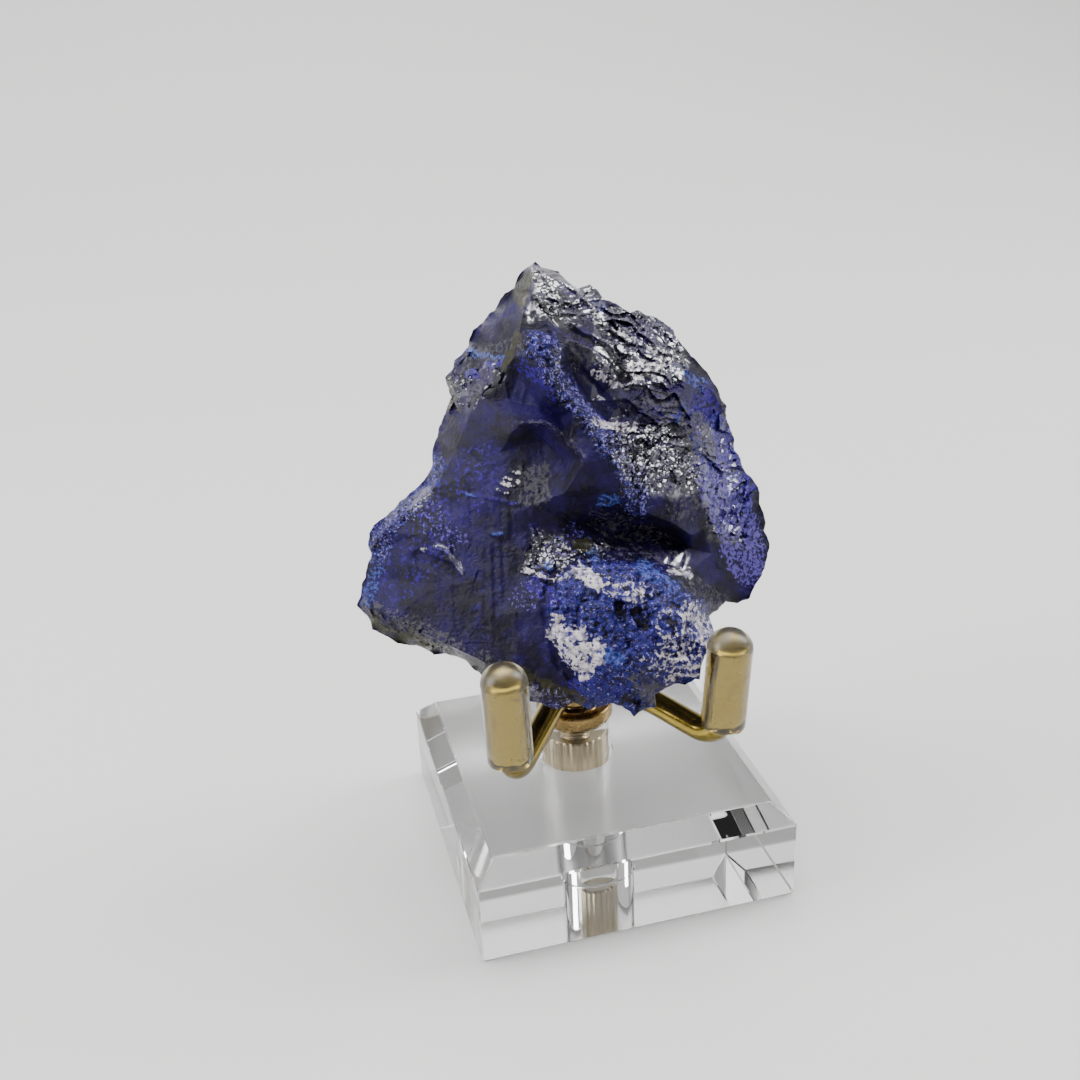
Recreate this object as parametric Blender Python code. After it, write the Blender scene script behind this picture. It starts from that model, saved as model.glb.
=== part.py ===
"""An azurite specimen held by three brass arms above a clear acrylic block.

Units are metres and +Z is up. The origin is the middle of the block's underside.
The block's front edge runs along X and the specimen shows its face towards -Y.
"""
import math

import bmesh
import bpy
import numpy as np
from mathutils import Vector, noise
from mathutils.geometry import delaunay_2d_cdt

MM = 0.001
GAP = 0.3 * MM

# The clear block
BASE_SIDE = 45.0 * MM
BASE_HEIGHT = 14.7 * MM
BASE_BEVEL = 2.8 * MM

# The clear pillar, the threaded stud in it and the turned collar on it share one upright axis
AXIS = Vector((-2.4 * MM, 0.3 * MM, 0.0))
PILLAR_RADIUS = 5.05 * MM
PILLAR_TOP = 21.1 * MM
STUD_RADIUS = 2.0 * MM
STUD_FOOT = 2.3 * MM
STUD_TOP = 27.4 * MM
COLLAR_RADIUS = 5.5 * MM
COLLAR_BOTTOM = PILLAR_TOP + GAP
COLLAR_TOP = 23.5 * MM
ROUND_STEPS = 40

COLLAR_EDGE = 0.5 * MM
COLLAR_GROOVE = 0.3 * MM

# The turned hub that the arms are let into
HUB_BOTTOM = COLLAR_TOP + GAP
HUB_NECK_RADIUS = 3.0 * MM
HUB_RADIUS = 4.5 * MM
HUB_NECK_TOP = 24.6 * MM
HUB_FLARE_TOP = 25.1 * MM
HUB_DOME = 1.2 * MM
HUB_TOP = 29.6 * MM
SOCKET_DEPTH_RADIUS = 3.0 * MM

# The arms are round rod, bent up into a prong at the elbow
ARM_RADIUS = 1.7 * MM
ARM_LEVEL = 27.1 * MM
SHOULDER_BEND = 12.0 * MM
ELBOW_BEND = 4.0 * MM
BEND_STEP = math.radians(15.0)
ARM_SIDES_RESOLUTION = 4
# Shoulder, elbow, outward lean of the prong and height of the sleeve's foot above the elbow
ARMS = {
    "left": ((-7.5, -6.4, 27.2), (-16.2, -18.7, 25.6), 3.5, 3.1),
    "right": ((6.0, -8.8, 27.2), (12.4, -19.0, 25.7), 3.8, 2.6),
    "back": ((-2.0, 9.0, 27.2), (-1.6, 17.4, 26.2), 4.0, 2.8),
}

# The clear vinyl sleeves pushed over the prongs
SLEEVE_RADIUS = 3.0 * MM
SLEEVE_LENGTH = 14.6 * MM
SLEEVE_DOME = 2.7 * MM
SLEEVE_CAP = 2.5 * MM
SLEEVE_FOOT_ROUND = 0.5 * MM
SLEEVE_STEPS = 24
DOME_STEPS = 4

# The specimen is drawn on its show face: millimetres to the right, up and out of the face
FACE_ORIGIN = Vector((-2.2 * MM, -9.0 * MM, 30.0 * MM))
FACE_TURN = math.radians(-14.0)
FACE_LEAN = math.radians(25.6)
FACE_ROLL = math.radians(-2.4)
FRONT_SPACING = 1.35
BACK_SPACING = 2.0
OUTLINE_NICK = 0.22
LATTICE_JITTER = 0.16
LATTICE_CLEARANCE = 0.62
RELIEF_FADE = 2.0
LEAST_FLARE = 0.9
LEAST_THICKNESS = 4.0
REST_HEIGHT = 29.95 * MM
REST_GAP = 0.5 * MM

OUTLINE = [
    (-9.5, 58.0, -1.0), (-8.0, 58.5, 0.0), (-4.5, 57.5, -2.0), (-2.0, 56.0, -4.0), (-0.3, 56.5, -4.0),
    (1.5, 54.5, -3.0), (5.5, 53.0, -5.0), (9.0, 52.0, -5.0), (11.5, 50.0, -4.0), (12.5, 47.0, -3.0),
    (16.0, 44.5, -5.0), (18.5, 41.0, -6.0), (20.0, 35.0, -6.0), (21.5, 30.5, -6.0), (23.5, 27.5, -6.0),
    (24.0, 23.5, -6.0), (25.0, 20.0, -6.0), (23.5, 16.0, -5.0), (21.5, 13.0, -4.0), (18.5, 12.0, -3.0),
    (16.0, 10.5, 0.0), (16.0, 8.5, 3.0), (14.8, 6.5, 7.0), (14.8, 4.5, 8.0), (14.2, 2.5, 8.0),
    (10.5, 2.0, 6.0), (8.0, 0.5, 6.0), (7.5, -1.0, 7.0), (5.5, -2.0, 8.0), (3.0, -0.5, 8.0),
    (0.5, -1.0, 8.0), (-2.5, -1.0, 7.0), (-6.0, -1.0, 4.0), (-9.0, -0.5, 3.0), (-12.5, 1.0, 2.0),
    (-15.5, 3.0, 1.5), (-18.5, 5.0, 1.0), (-23.0, 6.0, 0.5), (-26.5, 7.0, 0.0), (-29.5, 8.5, 0.0),
    (-32.0, 12.0, 0.0), (-31.0, 16.0, -1.0), (-31.0, 19.0, -2.0), (-30.5, 22.0, -2.0), (-27.5, 25.5, -3.0),
    (-23.5, 28.5, -3.0), (-22.5, 31.5, -4.0), (-21.5, 35.5, -4.0), (-20.5, 39.0, -5.0), (-19.5, 40.5, -4.0),
    (-20.5, 43.5, -5.0), (-17.5, 48.0, -5.0), (-16.5, 50.0, -5.0), (-13.5, 53.0, -4.0), (-11.0, 55.5, -3.0),
]

# Edges, lips and gullies of the show face, each a chain of points
FRONT_CHAINS = {
    "tip edge": [
        (-8.5, 57.5, 2.5), (-8.0, 54.0, 4.5), (-9.5, 50.5, 6.0), (-10.0, 48.0, 6.5), (-10.5, 45.0, 6.0),
    ],
    "tip left": [(-10.5, 54.0, 0.5), (-11.0, 50.5, 2.5)],
    "upper block": [(-6.5, 56.5, 2.5), (-4.5, 53.0, 2.5), (-2.0, 51.5, 2.0), (-1.0, 49.5, 3.0)],
    "lower block": [(-7.5, 51.5, 6.0), (-6.0, 51.0, 6.0), (-4.0, 50.0, 5.5)],
    "grey facet top": [(-7.0, 48.5, 6.5), (-3.5, 47.0, 6.5), (0.0, 46.5, 5.0), (3.0, 43.5, 4.0)],
    "grey facet foot": [(-3.0, 45.0, 5.0), (0.0, 43.0, 4.5), (2.5, 41.5, 3.5)],
    "spine": [
        (-9.0, 45.0, 8.0), (-7.0, 43.5, 9.5), (-5.0, 41.0, 9.5), (-2.5, 38.0, 10.0), (0.0, 34.0, 10.0),
        (2.5, 31.0, 9.5), (4.0, 26.5, 8.5), (6.5, 24.5, 7.0), (10.5, 23.0, 5.0), (13.0, 21.5, 3.0),
    ],
    "gully": [(-2.5, 43.0, 4.0), (-0.5, 39.5, 3.5), (2.0, 37.0, 4.0)],
    "lip": [
        (-11.0, 35.0, 6.5), (-9.5, 36.0, 8.0), (-6.5, 36.0, 8.8), (-3.5, 34.0, 10.0), (-1.5, 31.0, 10.5),
        (0.0, 28.0, 9.5),
    ],
    "under the lip": [(-10.0, 33.5, 4.8), (-7.0, 34.0, 5.0), (-4.5, 31.5, 6.0)],
    "fan edge": [(-10.0, 33.5, 4.8), (-9.5, 29.0, 5.5), (-8.0, 25.5, 6.5)],
    "dark facet": [(-8.0, 25.5, 6.5), (-4.0, 23.0, 4.8), (-0.5, 24.5, 5.5)],
    "hollow": [(1.0, 23.0, 3.0), (4.5, 22.0, 1.5), (8.5, 21.5, 1.0), (13.0, 19.8, 0.5)],
    "band": [(-9.0, 22.5, 5.5), (-4.0, 20.5, 6.0), (1.0, 19.5, 5.5), (6.5, 18.7, 5.0), (12.5, 16.5, 4.0)],
    "upper ledge": [(2.5, 51.0, -1.0), (7.0, 49.0, -1.0), (11.0, 46.0, -1.5)],
    "middle ledge": [(0.5, 49.0, 2.0), (3.5, 47.0, 2.5), (6.5, 44.5, 2.5), (9.5, 42.0, 2.5)],
    "lower ledge": [(3.5, 39.5, 5.0), (6.5, 38.0, 5.0), (10.0, 35.5, 4.0)],
    "flank edge": [(11.5, 38.5, 3.5), (13.0, 31.5, 4.0), (13.0, 27.0, 4.0), (15.0, 22.5, 1.0)],
    "crust edge": [
        (12.5, 13.0, 6.5), (8.5, 16.0, 8.0), (4.0, 17.5, 8.5), (-1.5, 17.5, 8.0), (-4.5, 16.0, 7.5),
        (-6.0, 12.0, 9.0), (-4.5, 8.0, 9.5), (-2.5, 4.0, 9.5), (-2.5, 1.0, 9.0),
    ],
    "foot edge": [
        (-30.5, 12.5, 2.0), (-27.0, 10.5, 3.5), (-23.0, 8.7, 5.0), (-19.0, 7.0, 6.5), (-15.0, 5.2, 7.5),
        (-11.0, 3.2, 8.5), (-7.0, 1.0, 8.5),
    ],
}
FRONT_POINTS = [
    (-3.0, 55.5, -0.5), (0.0, 52.5, 0.0), (-7.0, 46.0, 10.0), (-4.5, 45.3, 8.0), (-10.0, 42.5, 4.5),
    (-11.5, 39.5, 4.0), (-7.5, 38.5, 5.2), (-4.5, 36.8, 6.0), (-6.5, 28.5, 6.0), (-4.0, 27.0, 8.5),
    (3.5, 34.5, 7.5), (5.5, 31.5, 7.0), (8.5, 29.5, 6.5), (7.0, 34.5, 6.0), (10.0, 27.0, 6.0),
    (14.5, 41.5, -2.0), (16.5, 36.0, -2.0), (18.0, 29.5, -2.0), (19.0, 24.5, -2.5), (19.5, 19.0, -2.5),
    (16.5, 15.0, 0.0), (16.0, 19.0, 0.0), (-0.5, 14.5, 10.0), (4.0, 13.5, 10.5), (9.0, 12.5, 9.5),
    (1.5, 9.0, 11.0), (6.5, 8.5, 10.5), (11.0, 9.0, 10.0), (0.5, 4.5, 10.5), (5.0, 4.5, 10.5),
    (10.0, 5.5, 9.5), (2.5, 1.5, 9.5), (6.0, 0.8, 9.0), (-28.5, 22.0, 1.0), (-25.5, 24.5, 1.0),
    (-22.0, 27.5, 1.5), (-18.0, 29.0, 3.0), (-15.0, 31.0, 3.5), (-12.5, 32.5, 4.5), (-23.5, 21.5, 3.0),
    (-17.0, 24.5, 4.2), (-12.5, 27.5, 5.0), (-11.0, 24.0, 5.5), (-21.0, 15.0, 4.5), (-14.5, 18.5, 5.5),
    (-9.5, 18.0, 6.2), (-13.5, 11.0, 7.2), (-10.0, 7.5, 8.3), (-13.0, 51.0, -0.5), (-14.0, 47.5, 1.0),
    (-14.5, 44.0, 1.5), (-15.5, 40.5, 2.0), (-17.0, 37.0, 1.5), (-18.5, 33.5, 1.0), (-20.0, 30.5, 0.5),
    (-12.0, 47.0, 3.5), (-12.5, 43.0, 4.5), (-13.0, 38.5, 4.5), (-14.0, 34.5, 4.0),
]

# Where the show face is broken or crusted: middle across and up, radius of full relief and of none
LEDGES = (3.0, 45.0, 9.0, 14.0)
RIBS = (8.0, 33.0, 5.0, 10.0)
BLOCK = (-4.0, 52.0, 4.0, 7.0)
CRUST = (4.5, 8.0, 9.0, 11.5)
SIDE = (-18.0, 40.0, 7.0, 10.0)
FLANK = (23.0, 29.0, 8.0, 13.0)
LEDGE_PITCH = 3.4
LEDGE_DEPTH = 1.3
LEDGE_WAVER = 1.2
CRUST_DEPTH = 1.1
CRUST_GRAIN = 0.42
FACE_UNEVENNESS = 0.18
BACK_FACET = 9.0
BACK_STEP = 1.8

# Edges of the broken back and of the underside
BACK_CHAINS = {
    "back ridge": [
        (-9.0, 54.0, -7.0), (-7.0, 46.0, -11.0), (-3.0, 37.0, -15.0), (2.0, 27.0, -17.0), (4.0, 17.0, -17.5),
    ],
    "left shelf": [(-16.0, 40.0, -9.0), (-18.0, 31.0, -11.0), (-22.0, 22.0, -10.0), (-24.0, 14.0, -8.0)],
    "right shelf": [(6.0, 47.0, -10.0), (11.0, 38.0, -12.0), (15.0, 29.0, -13.0), (16.0, 20.0, -12.0)],
    "underside edge": [
        (-21.0, 10.5, -8.0), (-12.0, 9.5, -14.0), (-2.0, 9.0, -17.0), (8.0, 9.5, -16.0), (13.0, 11.0, -11.0),
    ],
}
BACK_POINTS = [
    (-13.0, 47.0, -7.5), (0.0, 50.0, -9.0), (-8.0, 33.0, -13.0), (-10.0, 22.0, -15.0), (-13.0, 15.0, -14.5),
    (8.0, 30.0, -14.0), (9.0, 20.0, -16.0), (20.0, 28.0, -9.5), (20.5, 20.0, -9.0), (-26.0, 21.0, -6.0),
    (-27.5, 14.0, -5.0), (-6.0, 15.0, -17.5), (2.0, 42.0, -12.0),
]


def clear_scene():
    """Remove every object that is in the file."""
    for obj in list(bpy.data.objects):
        bpy.data.objects.remove(obj, do_unlink=True)


def material(name, colour, roughness, metallic=0.0, transmission=0.0, ior=1.5):
    """Make a plain Principled material."""
    made = bpy.data.materials.new(name)
    made.use_nodes = True
    shader = made.node_tree.nodes["Principled BSDF"]
    shader.inputs["Base Color"].default_value = (*colour, 1.0)
    shader.inputs["Roughness"].default_value = roughness
    shader.inputs["Metallic"].default_value = metallic
    shader.inputs["Transmission Weight"].default_value = transmission
    shader.inputs["IOR"].default_value = ior
    made.diffuse_color = (*colour, 1.0)
    return made


def object_from(name, bm, skin, smooth_angle=None):
    """Turn a bmesh into a linked object with one material."""
    mesh = bpy.data.meshes.new(name)
    bm.to_mesh(mesh)
    bm.free()
    if smooth_angle is not None:
        mesh.shade_smooth()
        mesh.set_sharp_from_angle(angle=smooth_angle)
    mesh.materials.append(skin)
    obj = bpy.data.objects.new(name, mesh)
    bpy.context.scene.collection.objects.link(obj)
    return obj


def make_cutter(obj):
    """Hide an object that only shapes others."""
    obj.hide_render = True
    obj.display_type = "WIRE"
    return obj


def cut(obj, cutter):
    """Take the cutter's shape out of the object."""
    boolean = obj.modifiers.new("cut " + cutter.name, "BOOLEAN")
    boolean.operation = "DIFFERENCE"
    boolean.solver = "EXACT"
    boolean.object = cutter


def turned(name, profile, skin, steps=ROUND_STEPS):
    """Turn a closed half profile of (radius, height) points about the upright axis."""
    bm = bmesh.new()
    corners = [bm.verts.new((radius, 0.0, height)) for radius, height in profile]
    edges = []
    for start, end in zip(corners, corners[1:] + corners[:1]):
        if start.co.x > 0.0 or end.co.x > 0.0:
            edges.append(bm.edges.new((start, end)))
    bmesh.ops.spin(
        bm, geom=corners + edges, cent=(0.0, 0.0, 0.0), axis=(0.0, 0.0, 1.0),
        angle=math.tau, steps=steps, use_merge=True,
    )
    bmesh.ops.remove_doubles(bm, verts=bm.verts, dist=0.001 * MM)
    bmesh.ops.recalc_face_normals(bm, faces=bm.faces)
    return object_from(name, bm, skin, math.radians(35.0))


def arc(centre, radii, start, end, steps):
    """List points on an elliptical arc of (radius, height), between two angles in degrees."""
    points = []
    for i in range(steps + 1):
        angle = math.radians(start + (end - start) * i / steps)
        points.append((centre[0] + radii[0] * math.cos(angle), centre[1] + radii[1] * math.sin(angle)))
    return points


def make_base(skin):
    """Make the square block with bevelled upper edges and a bore for the pillar."""
    bm = bmesh.new()
    bmesh.ops.create_cube(bm, size=1.0)
    bmesh.ops.scale(bm, vec=(BASE_SIDE, BASE_SIDE, BASE_HEIGHT), verts=bm.verts)
    bmesh.ops.translate(bm, vec=(0.0, 0.0, BASE_HEIGHT / 2.0), verts=bm.verts)
    upper = [e for e in bm.edges if min(v.co.z for v in e.verts) > BASE_HEIGHT / 2.0]
    bmesh.ops.bevel(bm, geom=upper, offset=BASE_BEVEL, segments=1, affect="EDGES")
    base = object_from("acrylic_base", bm, skin)
    reach = 1.0 * MM
    radius = PILLAR_RADIUS + GAP
    profile = [(0.0, -reach), (radius, -reach), (radius, BASE_HEIGHT + reach), (0.0, BASE_HEIGHT + reach)]
    bore = turned("pillar_bore", profile, skin)
    bore.location = AXIS
    cut(base, make_cutter(bore))
    return base


def make_pillar(skin):
    """Make the clear pillar, bored from the top for the stud."""
    bore = STUD_RADIUS + GAP
    chamfer = 0.3 * MM
    profile = [
        (0.0, 0.0), (PILLAR_RADIUS, 0.0), (PILLAR_RADIUS, PILLAR_TOP - chamfer),
        (PILLAR_RADIUS - chamfer, PILLAR_TOP), (bore, PILLAR_TOP), (bore, STUD_FOOT - GAP),
        (0.0, STUD_FOOT - GAP),
    ]
    pillar = turned("acrylic_pillar", profile, skin)
    pillar.location = AXIS
    return pillar


def make_stud(skin):
    """Make the threaded stud, here at its outer diameter."""
    chamfer = 0.4 * MM
    profile = [
        (0.0, STUD_FOOT), (STUD_RADIUS - chamfer, STUD_FOOT), (STUD_RADIUS, STUD_FOOT + chamfer),
        (STUD_RADIUS, STUD_TOP - chamfer), (STUD_RADIUS - chamfer, STUD_TOP), (0.0, STUD_TOP),
    ]
    stud = turned("brass_stud", profile, skin, steps=24)
    stud.location = AXIS
    return stud


def make_collar(skin):
    """Make the turned disc on the pillar, with a rounded rim and a groove in its top."""
    bore = STUD_RADIUS + GAP
    land = COLLAR_TOP - COLLAR_GROOVE
    profile = [
        (bore, COLLAR_BOTTOM), (COLLAR_RADIUS - COLLAR_GROOVE, COLLAR_BOTTOM),
        (COLLAR_RADIUS, COLLAR_BOTTOM + COLLAR_GROOVE),
    ]
    rim = COLLAR_RADIUS - COLLAR_EDGE
    lip = rim - COLLAR_EDGE
    profile += arc((rim, COLLAR_TOP - COLLAR_EDGE), (COLLAR_EDGE, COLLAR_EDGE), 0.0, 90.0, 3)
    profile += [(lip, COLLAR_TOP), (lip - COLLAR_GROOVE, land), (bore, land)]
    collar = turned("brass_collar", profile, skin)
    collar.location = AXIS
    return collar


def make_hub(skin, cutters):
    """Make the turned hub: a neck and a rounded knob with a socket for each arm."""
    bore = STUD_RADIUS + GAP
    profile = [
        (bore, HUB_BOTTOM), (HUB_NECK_RADIUS, HUB_BOTTOM), (HUB_NECK_RADIUS, HUB_NECK_TOP),
        (HUB_RADIUS, HUB_FLARE_TOP),
    ]
    profile += arc((HUB_RADIUS - HUB_DOME, HUB_TOP - HUB_DOME), (HUB_DOME, HUB_DOME), 0.0, 90.0, DOME_STEPS)
    profile += [(0.0, HUB_TOP), (0.0, STUD_TOP + GAP), (bore, STUD_TOP + GAP)]
    hub = turned("brass_hub", profile, skin)
    hub.location = AXIS
    for cutter in cutters:
        cut(hub, cutter)
    return hub


def rounded_route(corners, bends):
    """Follow straight runs between corners, with each inner corner rounded to its bend radius."""
    route = [corners[0]]
    for before, corner, after, bend in zip(corners, corners[1:], corners[2:], bends):
        arriving = (corner - before).normalized()
        leaving = (after - corner).normalized()
        turn = arriving.angle(leaving)
        trim = bend * math.tan(turn / 2.0)
        inward = (leaving - arriving).normalized()
        centre = corner + inward * (bend / math.cos(turn / 2.0))
        first = corner - arriving * trim - centre
        normal = arriving.cross(leaving).normalized()
        steps = max(2, math.ceil(turn / BEND_STEP))
        for i in range(steps + 1):
            angle = turn * i / steps
            swung = first * math.cos(angle) + normal.cross(first) * math.sin(angle)
            route.append(centre + swung)
    route.append(corners[-1])
    return route


def arm_corners(side):
    """List the centre line's corners for one arm, from the hub to the prong's tip."""
    shoulder, elbow, _, _ = ARMS[side]
    shoulder = Vector(shoulder) * MM
    elbow = Vector(elbow) * MM
    outward = Vector((shoulder.x - AXIS.x, shoulder.y - AXIS.y, 0.0)).normalized()
    start = AXIS + outward * (SOCKET_DEPTH_RADIUS + GAP)
    start.z = ARM_LEVEL
    return start, shoulder, elbow, prong_direction(side)


def prong_direction(side):
    """Give the upward direction of a prong, leaning out from the hub."""
    _, elbow, lean, _ = ARMS[side]
    away = Vector((elbow[0] * MM - AXIS.x, elbow[1] * MM - AXIS.y, 0.0)).normalized()
    tilt = math.radians(lean)
    return Vector((away.x * math.sin(tilt), away.y * math.sin(tilt), math.cos(tilt)))


def prong_height(side):
    """Give the height of the rod's end above the elbow, along the prong."""
    foot = ARMS[side][3] * MM
    return foot + SLEEVE_LENGTH - SLEEVE_CAP


def rod(name, side, radius, overrun, skin):
    """Sweep a round rod along an arm, overrun past both ends."""
    start, shoulder, elbow, upward = arm_corners(side)
    into_hub = (start - shoulder).normalized()
    corners = [start + into_hub * overrun, shoulder, elbow, elbow + upward * (prong_height(side) + overrun)]
    route = rounded_route(corners, (SHOULDER_BEND, ELBOW_BEND))
    curve = bpy.data.curves.new(name, "CURVE")
    curve.dimensions = "3D"
    curve.bevel_depth = radius
    curve.bevel_resolution = ARM_SIDES_RESOLUTION
    curve.use_fill_caps = True
    spline = curve.splines.new("POLY")
    spline.points.add(len(route) - 1)
    for point, place in zip(spline.points, route):
        point.co = (*place, 1.0)
    sketch = bpy.data.objects.new(name + "_line", curve)
    bpy.context.scene.collection.objects.link(sketch)
    bm = bmesh.new()
    bm.from_mesh(sketch.to_mesh())
    sketch.to_mesh_clear()
    bpy.data.objects.remove(sketch, do_unlink=True)
    bmesh.ops.remove_doubles(bm, verts=bm.verts, dist=0.001 * MM)
    bmesh.ops.recalc_face_normals(bm, faces=bm.faces)
    return object_from(name, bm, skin, math.radians(40.0))


def make_sleeve(side, skin, cutter):
    """Make a domed vinyl sleeve on its prong, hollowed by the rod's path."""
    foot = SLEEVE_FOOT_ROUND
    profile = [(0.0, 0.0), (SLEEVE_RADIUS - foot, 0.0), (SLEEVE_RADIUS, foot)]
    dome = arc((0.0, SLEEVE_LENGTH - SLEEVE_DOME), (SLEEVE_RADIUS, SLEEVE_DOME), 0.0, 90.0, DOME_STEPS)
    profile += dome[:-1] + [(0.0, SLEEVE_LENGTH)]
    sleeve = turned("vinyl_sleeve_" + side, profile, skin, steps=SLEEVE_STEPS)
    _, _, elbow, upward = arm_corners(side)
    sleeve.rotation_mode = "QUATERNION"
    sleeve.rotation_quaternion = Vector((0.0, 0.0, 1.0)).rotation_difference(upward)
    sleeve.location = elbow + upward * (ARMS[side][3] * MM)
    cut(sleeve, cutter)
    return sleeve


def face_axes():
    """Give the show face's right, up and outward directions."""
    level_share = math.cos(FACE_LEAN)
    outward = Vector((
        math.sin(FACE_TURN) * level_share, -math.cos(FACE_TURN) * level_share, math.sin(FACE_LEAN),
    ))
    level = Vector((0.0, 0.0, 1.0)).cross(outward).normalized()
    steep = outward.cross(level)
    right = level * math.cos(FACE_ROLL) + steep * math.sin(FACE_ROLL)
    upward = steep * math.cos(FACE_ROLL) - level * math.sin(FACE_ROLL)
    return right, upward, outward


def triangulate(points, edges):
    """Triangulate flat points inside their outline, and give each new vertex its source point."""
    flat = [Vector((p[0], p[1])) for p in points]
    places, _, faces, sources, _, _ = delaunay_2d_cdt(flat, edges, [], 1, 0.0001)
    origin = []
    for place, found in zip(places, sources):
        if found:
            origin.append(found[0])
        else:
            distances = [(place - other).length for other in flat]
            origin.append(distances.index(min(distances)))
    return origin, faces


def loop_edges(count):
    """List the edges of a closed loop of the first count points."""
    return [(i, (i + 1) % count) for i in range(count)]


def control_net(chains, loose):
    """Triangulate the outline, the chains and the loose points of one side of the specimen."""
    points = list(OUTLINE)
    edges = loop_edges(len(points))
    for chain in chains.values():
        first = len(points)
        points += chain
        edges += [(first + i, first + i + 1) for i in range(len(chain) - 1)]
    points += loose
    origin, faces = triangulate(points, edges)
    corners = np.array([points[i] for i in origin])
    return corners[np.array(faces)]


def net_depth(net, places):
    """Read the net's depth at flat places, from the triangle that each lies in or nearest to."""
    a, b, c = net[:, 0], net[:, 1], net[:, 2]
    ab = b[:, :2] - a[:, :2]
    ac = c[:, :2] - a[:, :2]
    area = ab[:, 0] * ac[:, 1] - ab[:, 1] * ac[:, 0]
    depths = []
    for place in places:
        ap = place[:2] - a[:, :2]
        s = (ap[:, 0] * ac[:, 1] - ap[:, 1] * ac[:, 0]) / area
        t = (ab[:, 0] * ap[:, 1] - ab[:, 1] * ap[:, 0]) / area
        inside = np.minimum(np.minimum(s, t), 1.0 - s - t)
        best = int(np.argmax(inside))
        weights = np.clip([1.0 - s[best] - t[best], s[best], t[best]], 0.0, 1.0)
        weights /= weights.sum()
        depths.append(float(weights @ net[best, :, 2]))
    return np.array(depths)


def walk(chain, spacing, closed=False):
    """Place points along a chain about one spacing apart, its own corners among them."""
    corners = [np.array(p) for p in chain]
    ends = corners[1:] + corners[:1] if closed else corners[1:]
    places = []
    for start, end in zip(corners, ends):
        count = max(1, round(float(np.linalg.norm(end[:2] - start[:2])) / spacing))
        places += [start + (end - start) * i / count for i in range(count)]
    if not closed:
        places.append(corners[-1])
    return places


def rough_outline():
    """Walk round the outline at the front's spacing, with small nicks between its corners."""
    places = walk(OUTLINE, FRONT_SPACING, closed=True)
    rng = np.random.default_rng(5)
    nicks = rng.normal(0.0, OUTLINE_NICK, (len(places), 3))
    return [place + nick for place, nick in zip(places, nicks)]


def inside_outline(places, outline):
    """Tell which flat places lie inside the outline, by counting crossings."""
    inside = np.zeros(len(places), bool)
    for start, end in zip(outline, outline[1:] + outline[:1]):
        crosses = (start[1] > places[:, 1]) != (end[1] > places[:, 1])
        height = end[1] - start[1]
        if abs(height) < 1e-9:
            continue
        reach = start[0] + (places[:, 1] - start[1]) * (end[0] - start[0]) / height
        inside ^= crosses & (places[:, 0] < reach)
    return inside


def lattice_points(fixed, outline, spacing, seed):
    """Scatter a jittered triangular lattice inside the outline, clear of the fixed points."""
    rng = np.random.default_rng(seed)
    row_height = spacing * math.sqrt(3.0) / 2.0
    low = fixed.min(axis=0)
    high = fixed.max(axis=0)
    lattice = []
    for row in range(int((high[1] - low[1]) / row_height) + 1):
        for column in range(int((high[0] - low[0]) / spacing) + 2):
            lattice.append((low[0] + (column + 0.5 * (row % 2)) * spacing, low[1] + row * row_height))
    lattice = np.array(lattice) + rng.normal(0.0, LATTICE_JITTER * spacing, (len(lattice), 2))
    lattice = lattice[inside_outline(lattice, outline)]
    nearest = np.array([np.linalg.norm(fixed - place, axis=1).min() for place in lattice])
    return lattice[nearest > LATTICE_CLEARANCE * spacing]


def rim_chords(faces, origin, count):
    """List the edges that cut straight across between two outline points that aren't neighbours."""
    chords = set()
    for face in faces:
        corners = [origin[i] for i in face]
        for start, end in zip(corners, corners[1:] + corners[:1]):
            step = abs(start - end)
            if max(start, end) < count and step not in (1, count - 1):
                chords.add((min(start, end), max(start, end)))
    return sorted(chords)


def sheet(outline, chains, spacing, seed):
    """Triangulate one side finely, keeping the outline and the chains as edges."""
    points = list(outline)
    edges = loop_edges(len(points))
    for chain in chains.values():
        first = len(points)
        places = walk(chain, spacing)
        points += places
        edges += [(first + i, first + i + 1) for i in range(len(places) - 1)]
    fixed = np.array(points)[:, :2]
    points += [np.array((x, y, 0.0)) for x, y in lattice_points(fixed, outline, spacing, seed)]
    origin, faces = triangulate(points, edges)
    chords = rim_chords(faces, origin, len(outline))
    while chords:
        points += [(points[start] + points[end]) / 2.0 for start, end in chords]
        origin, faces = triangulate(points, edges)
        chords = rim_chords(faces, origin, len(outline))
    return np.array(points), [[origin[i] for i in face] for face in faces]


def smooth_mask(places, region):
    """Fade from one inside a region's inner radius to nought outside its outer, on the flat face."""
    across, up, inner, outer = region
    distance = np.hypot(places[:, 0] - across, places[:, 1] - up)
    return np.clip((outer - distance) / (outer - inner), 0.0, 1.0)


def facets(place, size, step, lean):
    """Give the height at a flat place of a surface broken into leaning facets with steps between."""
    near = noise.voronoi(Vector(place) / size)[1][0]
    turn = noise.cell_vector(near * 17.0)
    offset = Vector(place) - near * size
    return (turn.z - 0.5) * step + (turn.x - 0.5) * lean * offset.x + (turn.y - 0.5) * lean * offset.y


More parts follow.
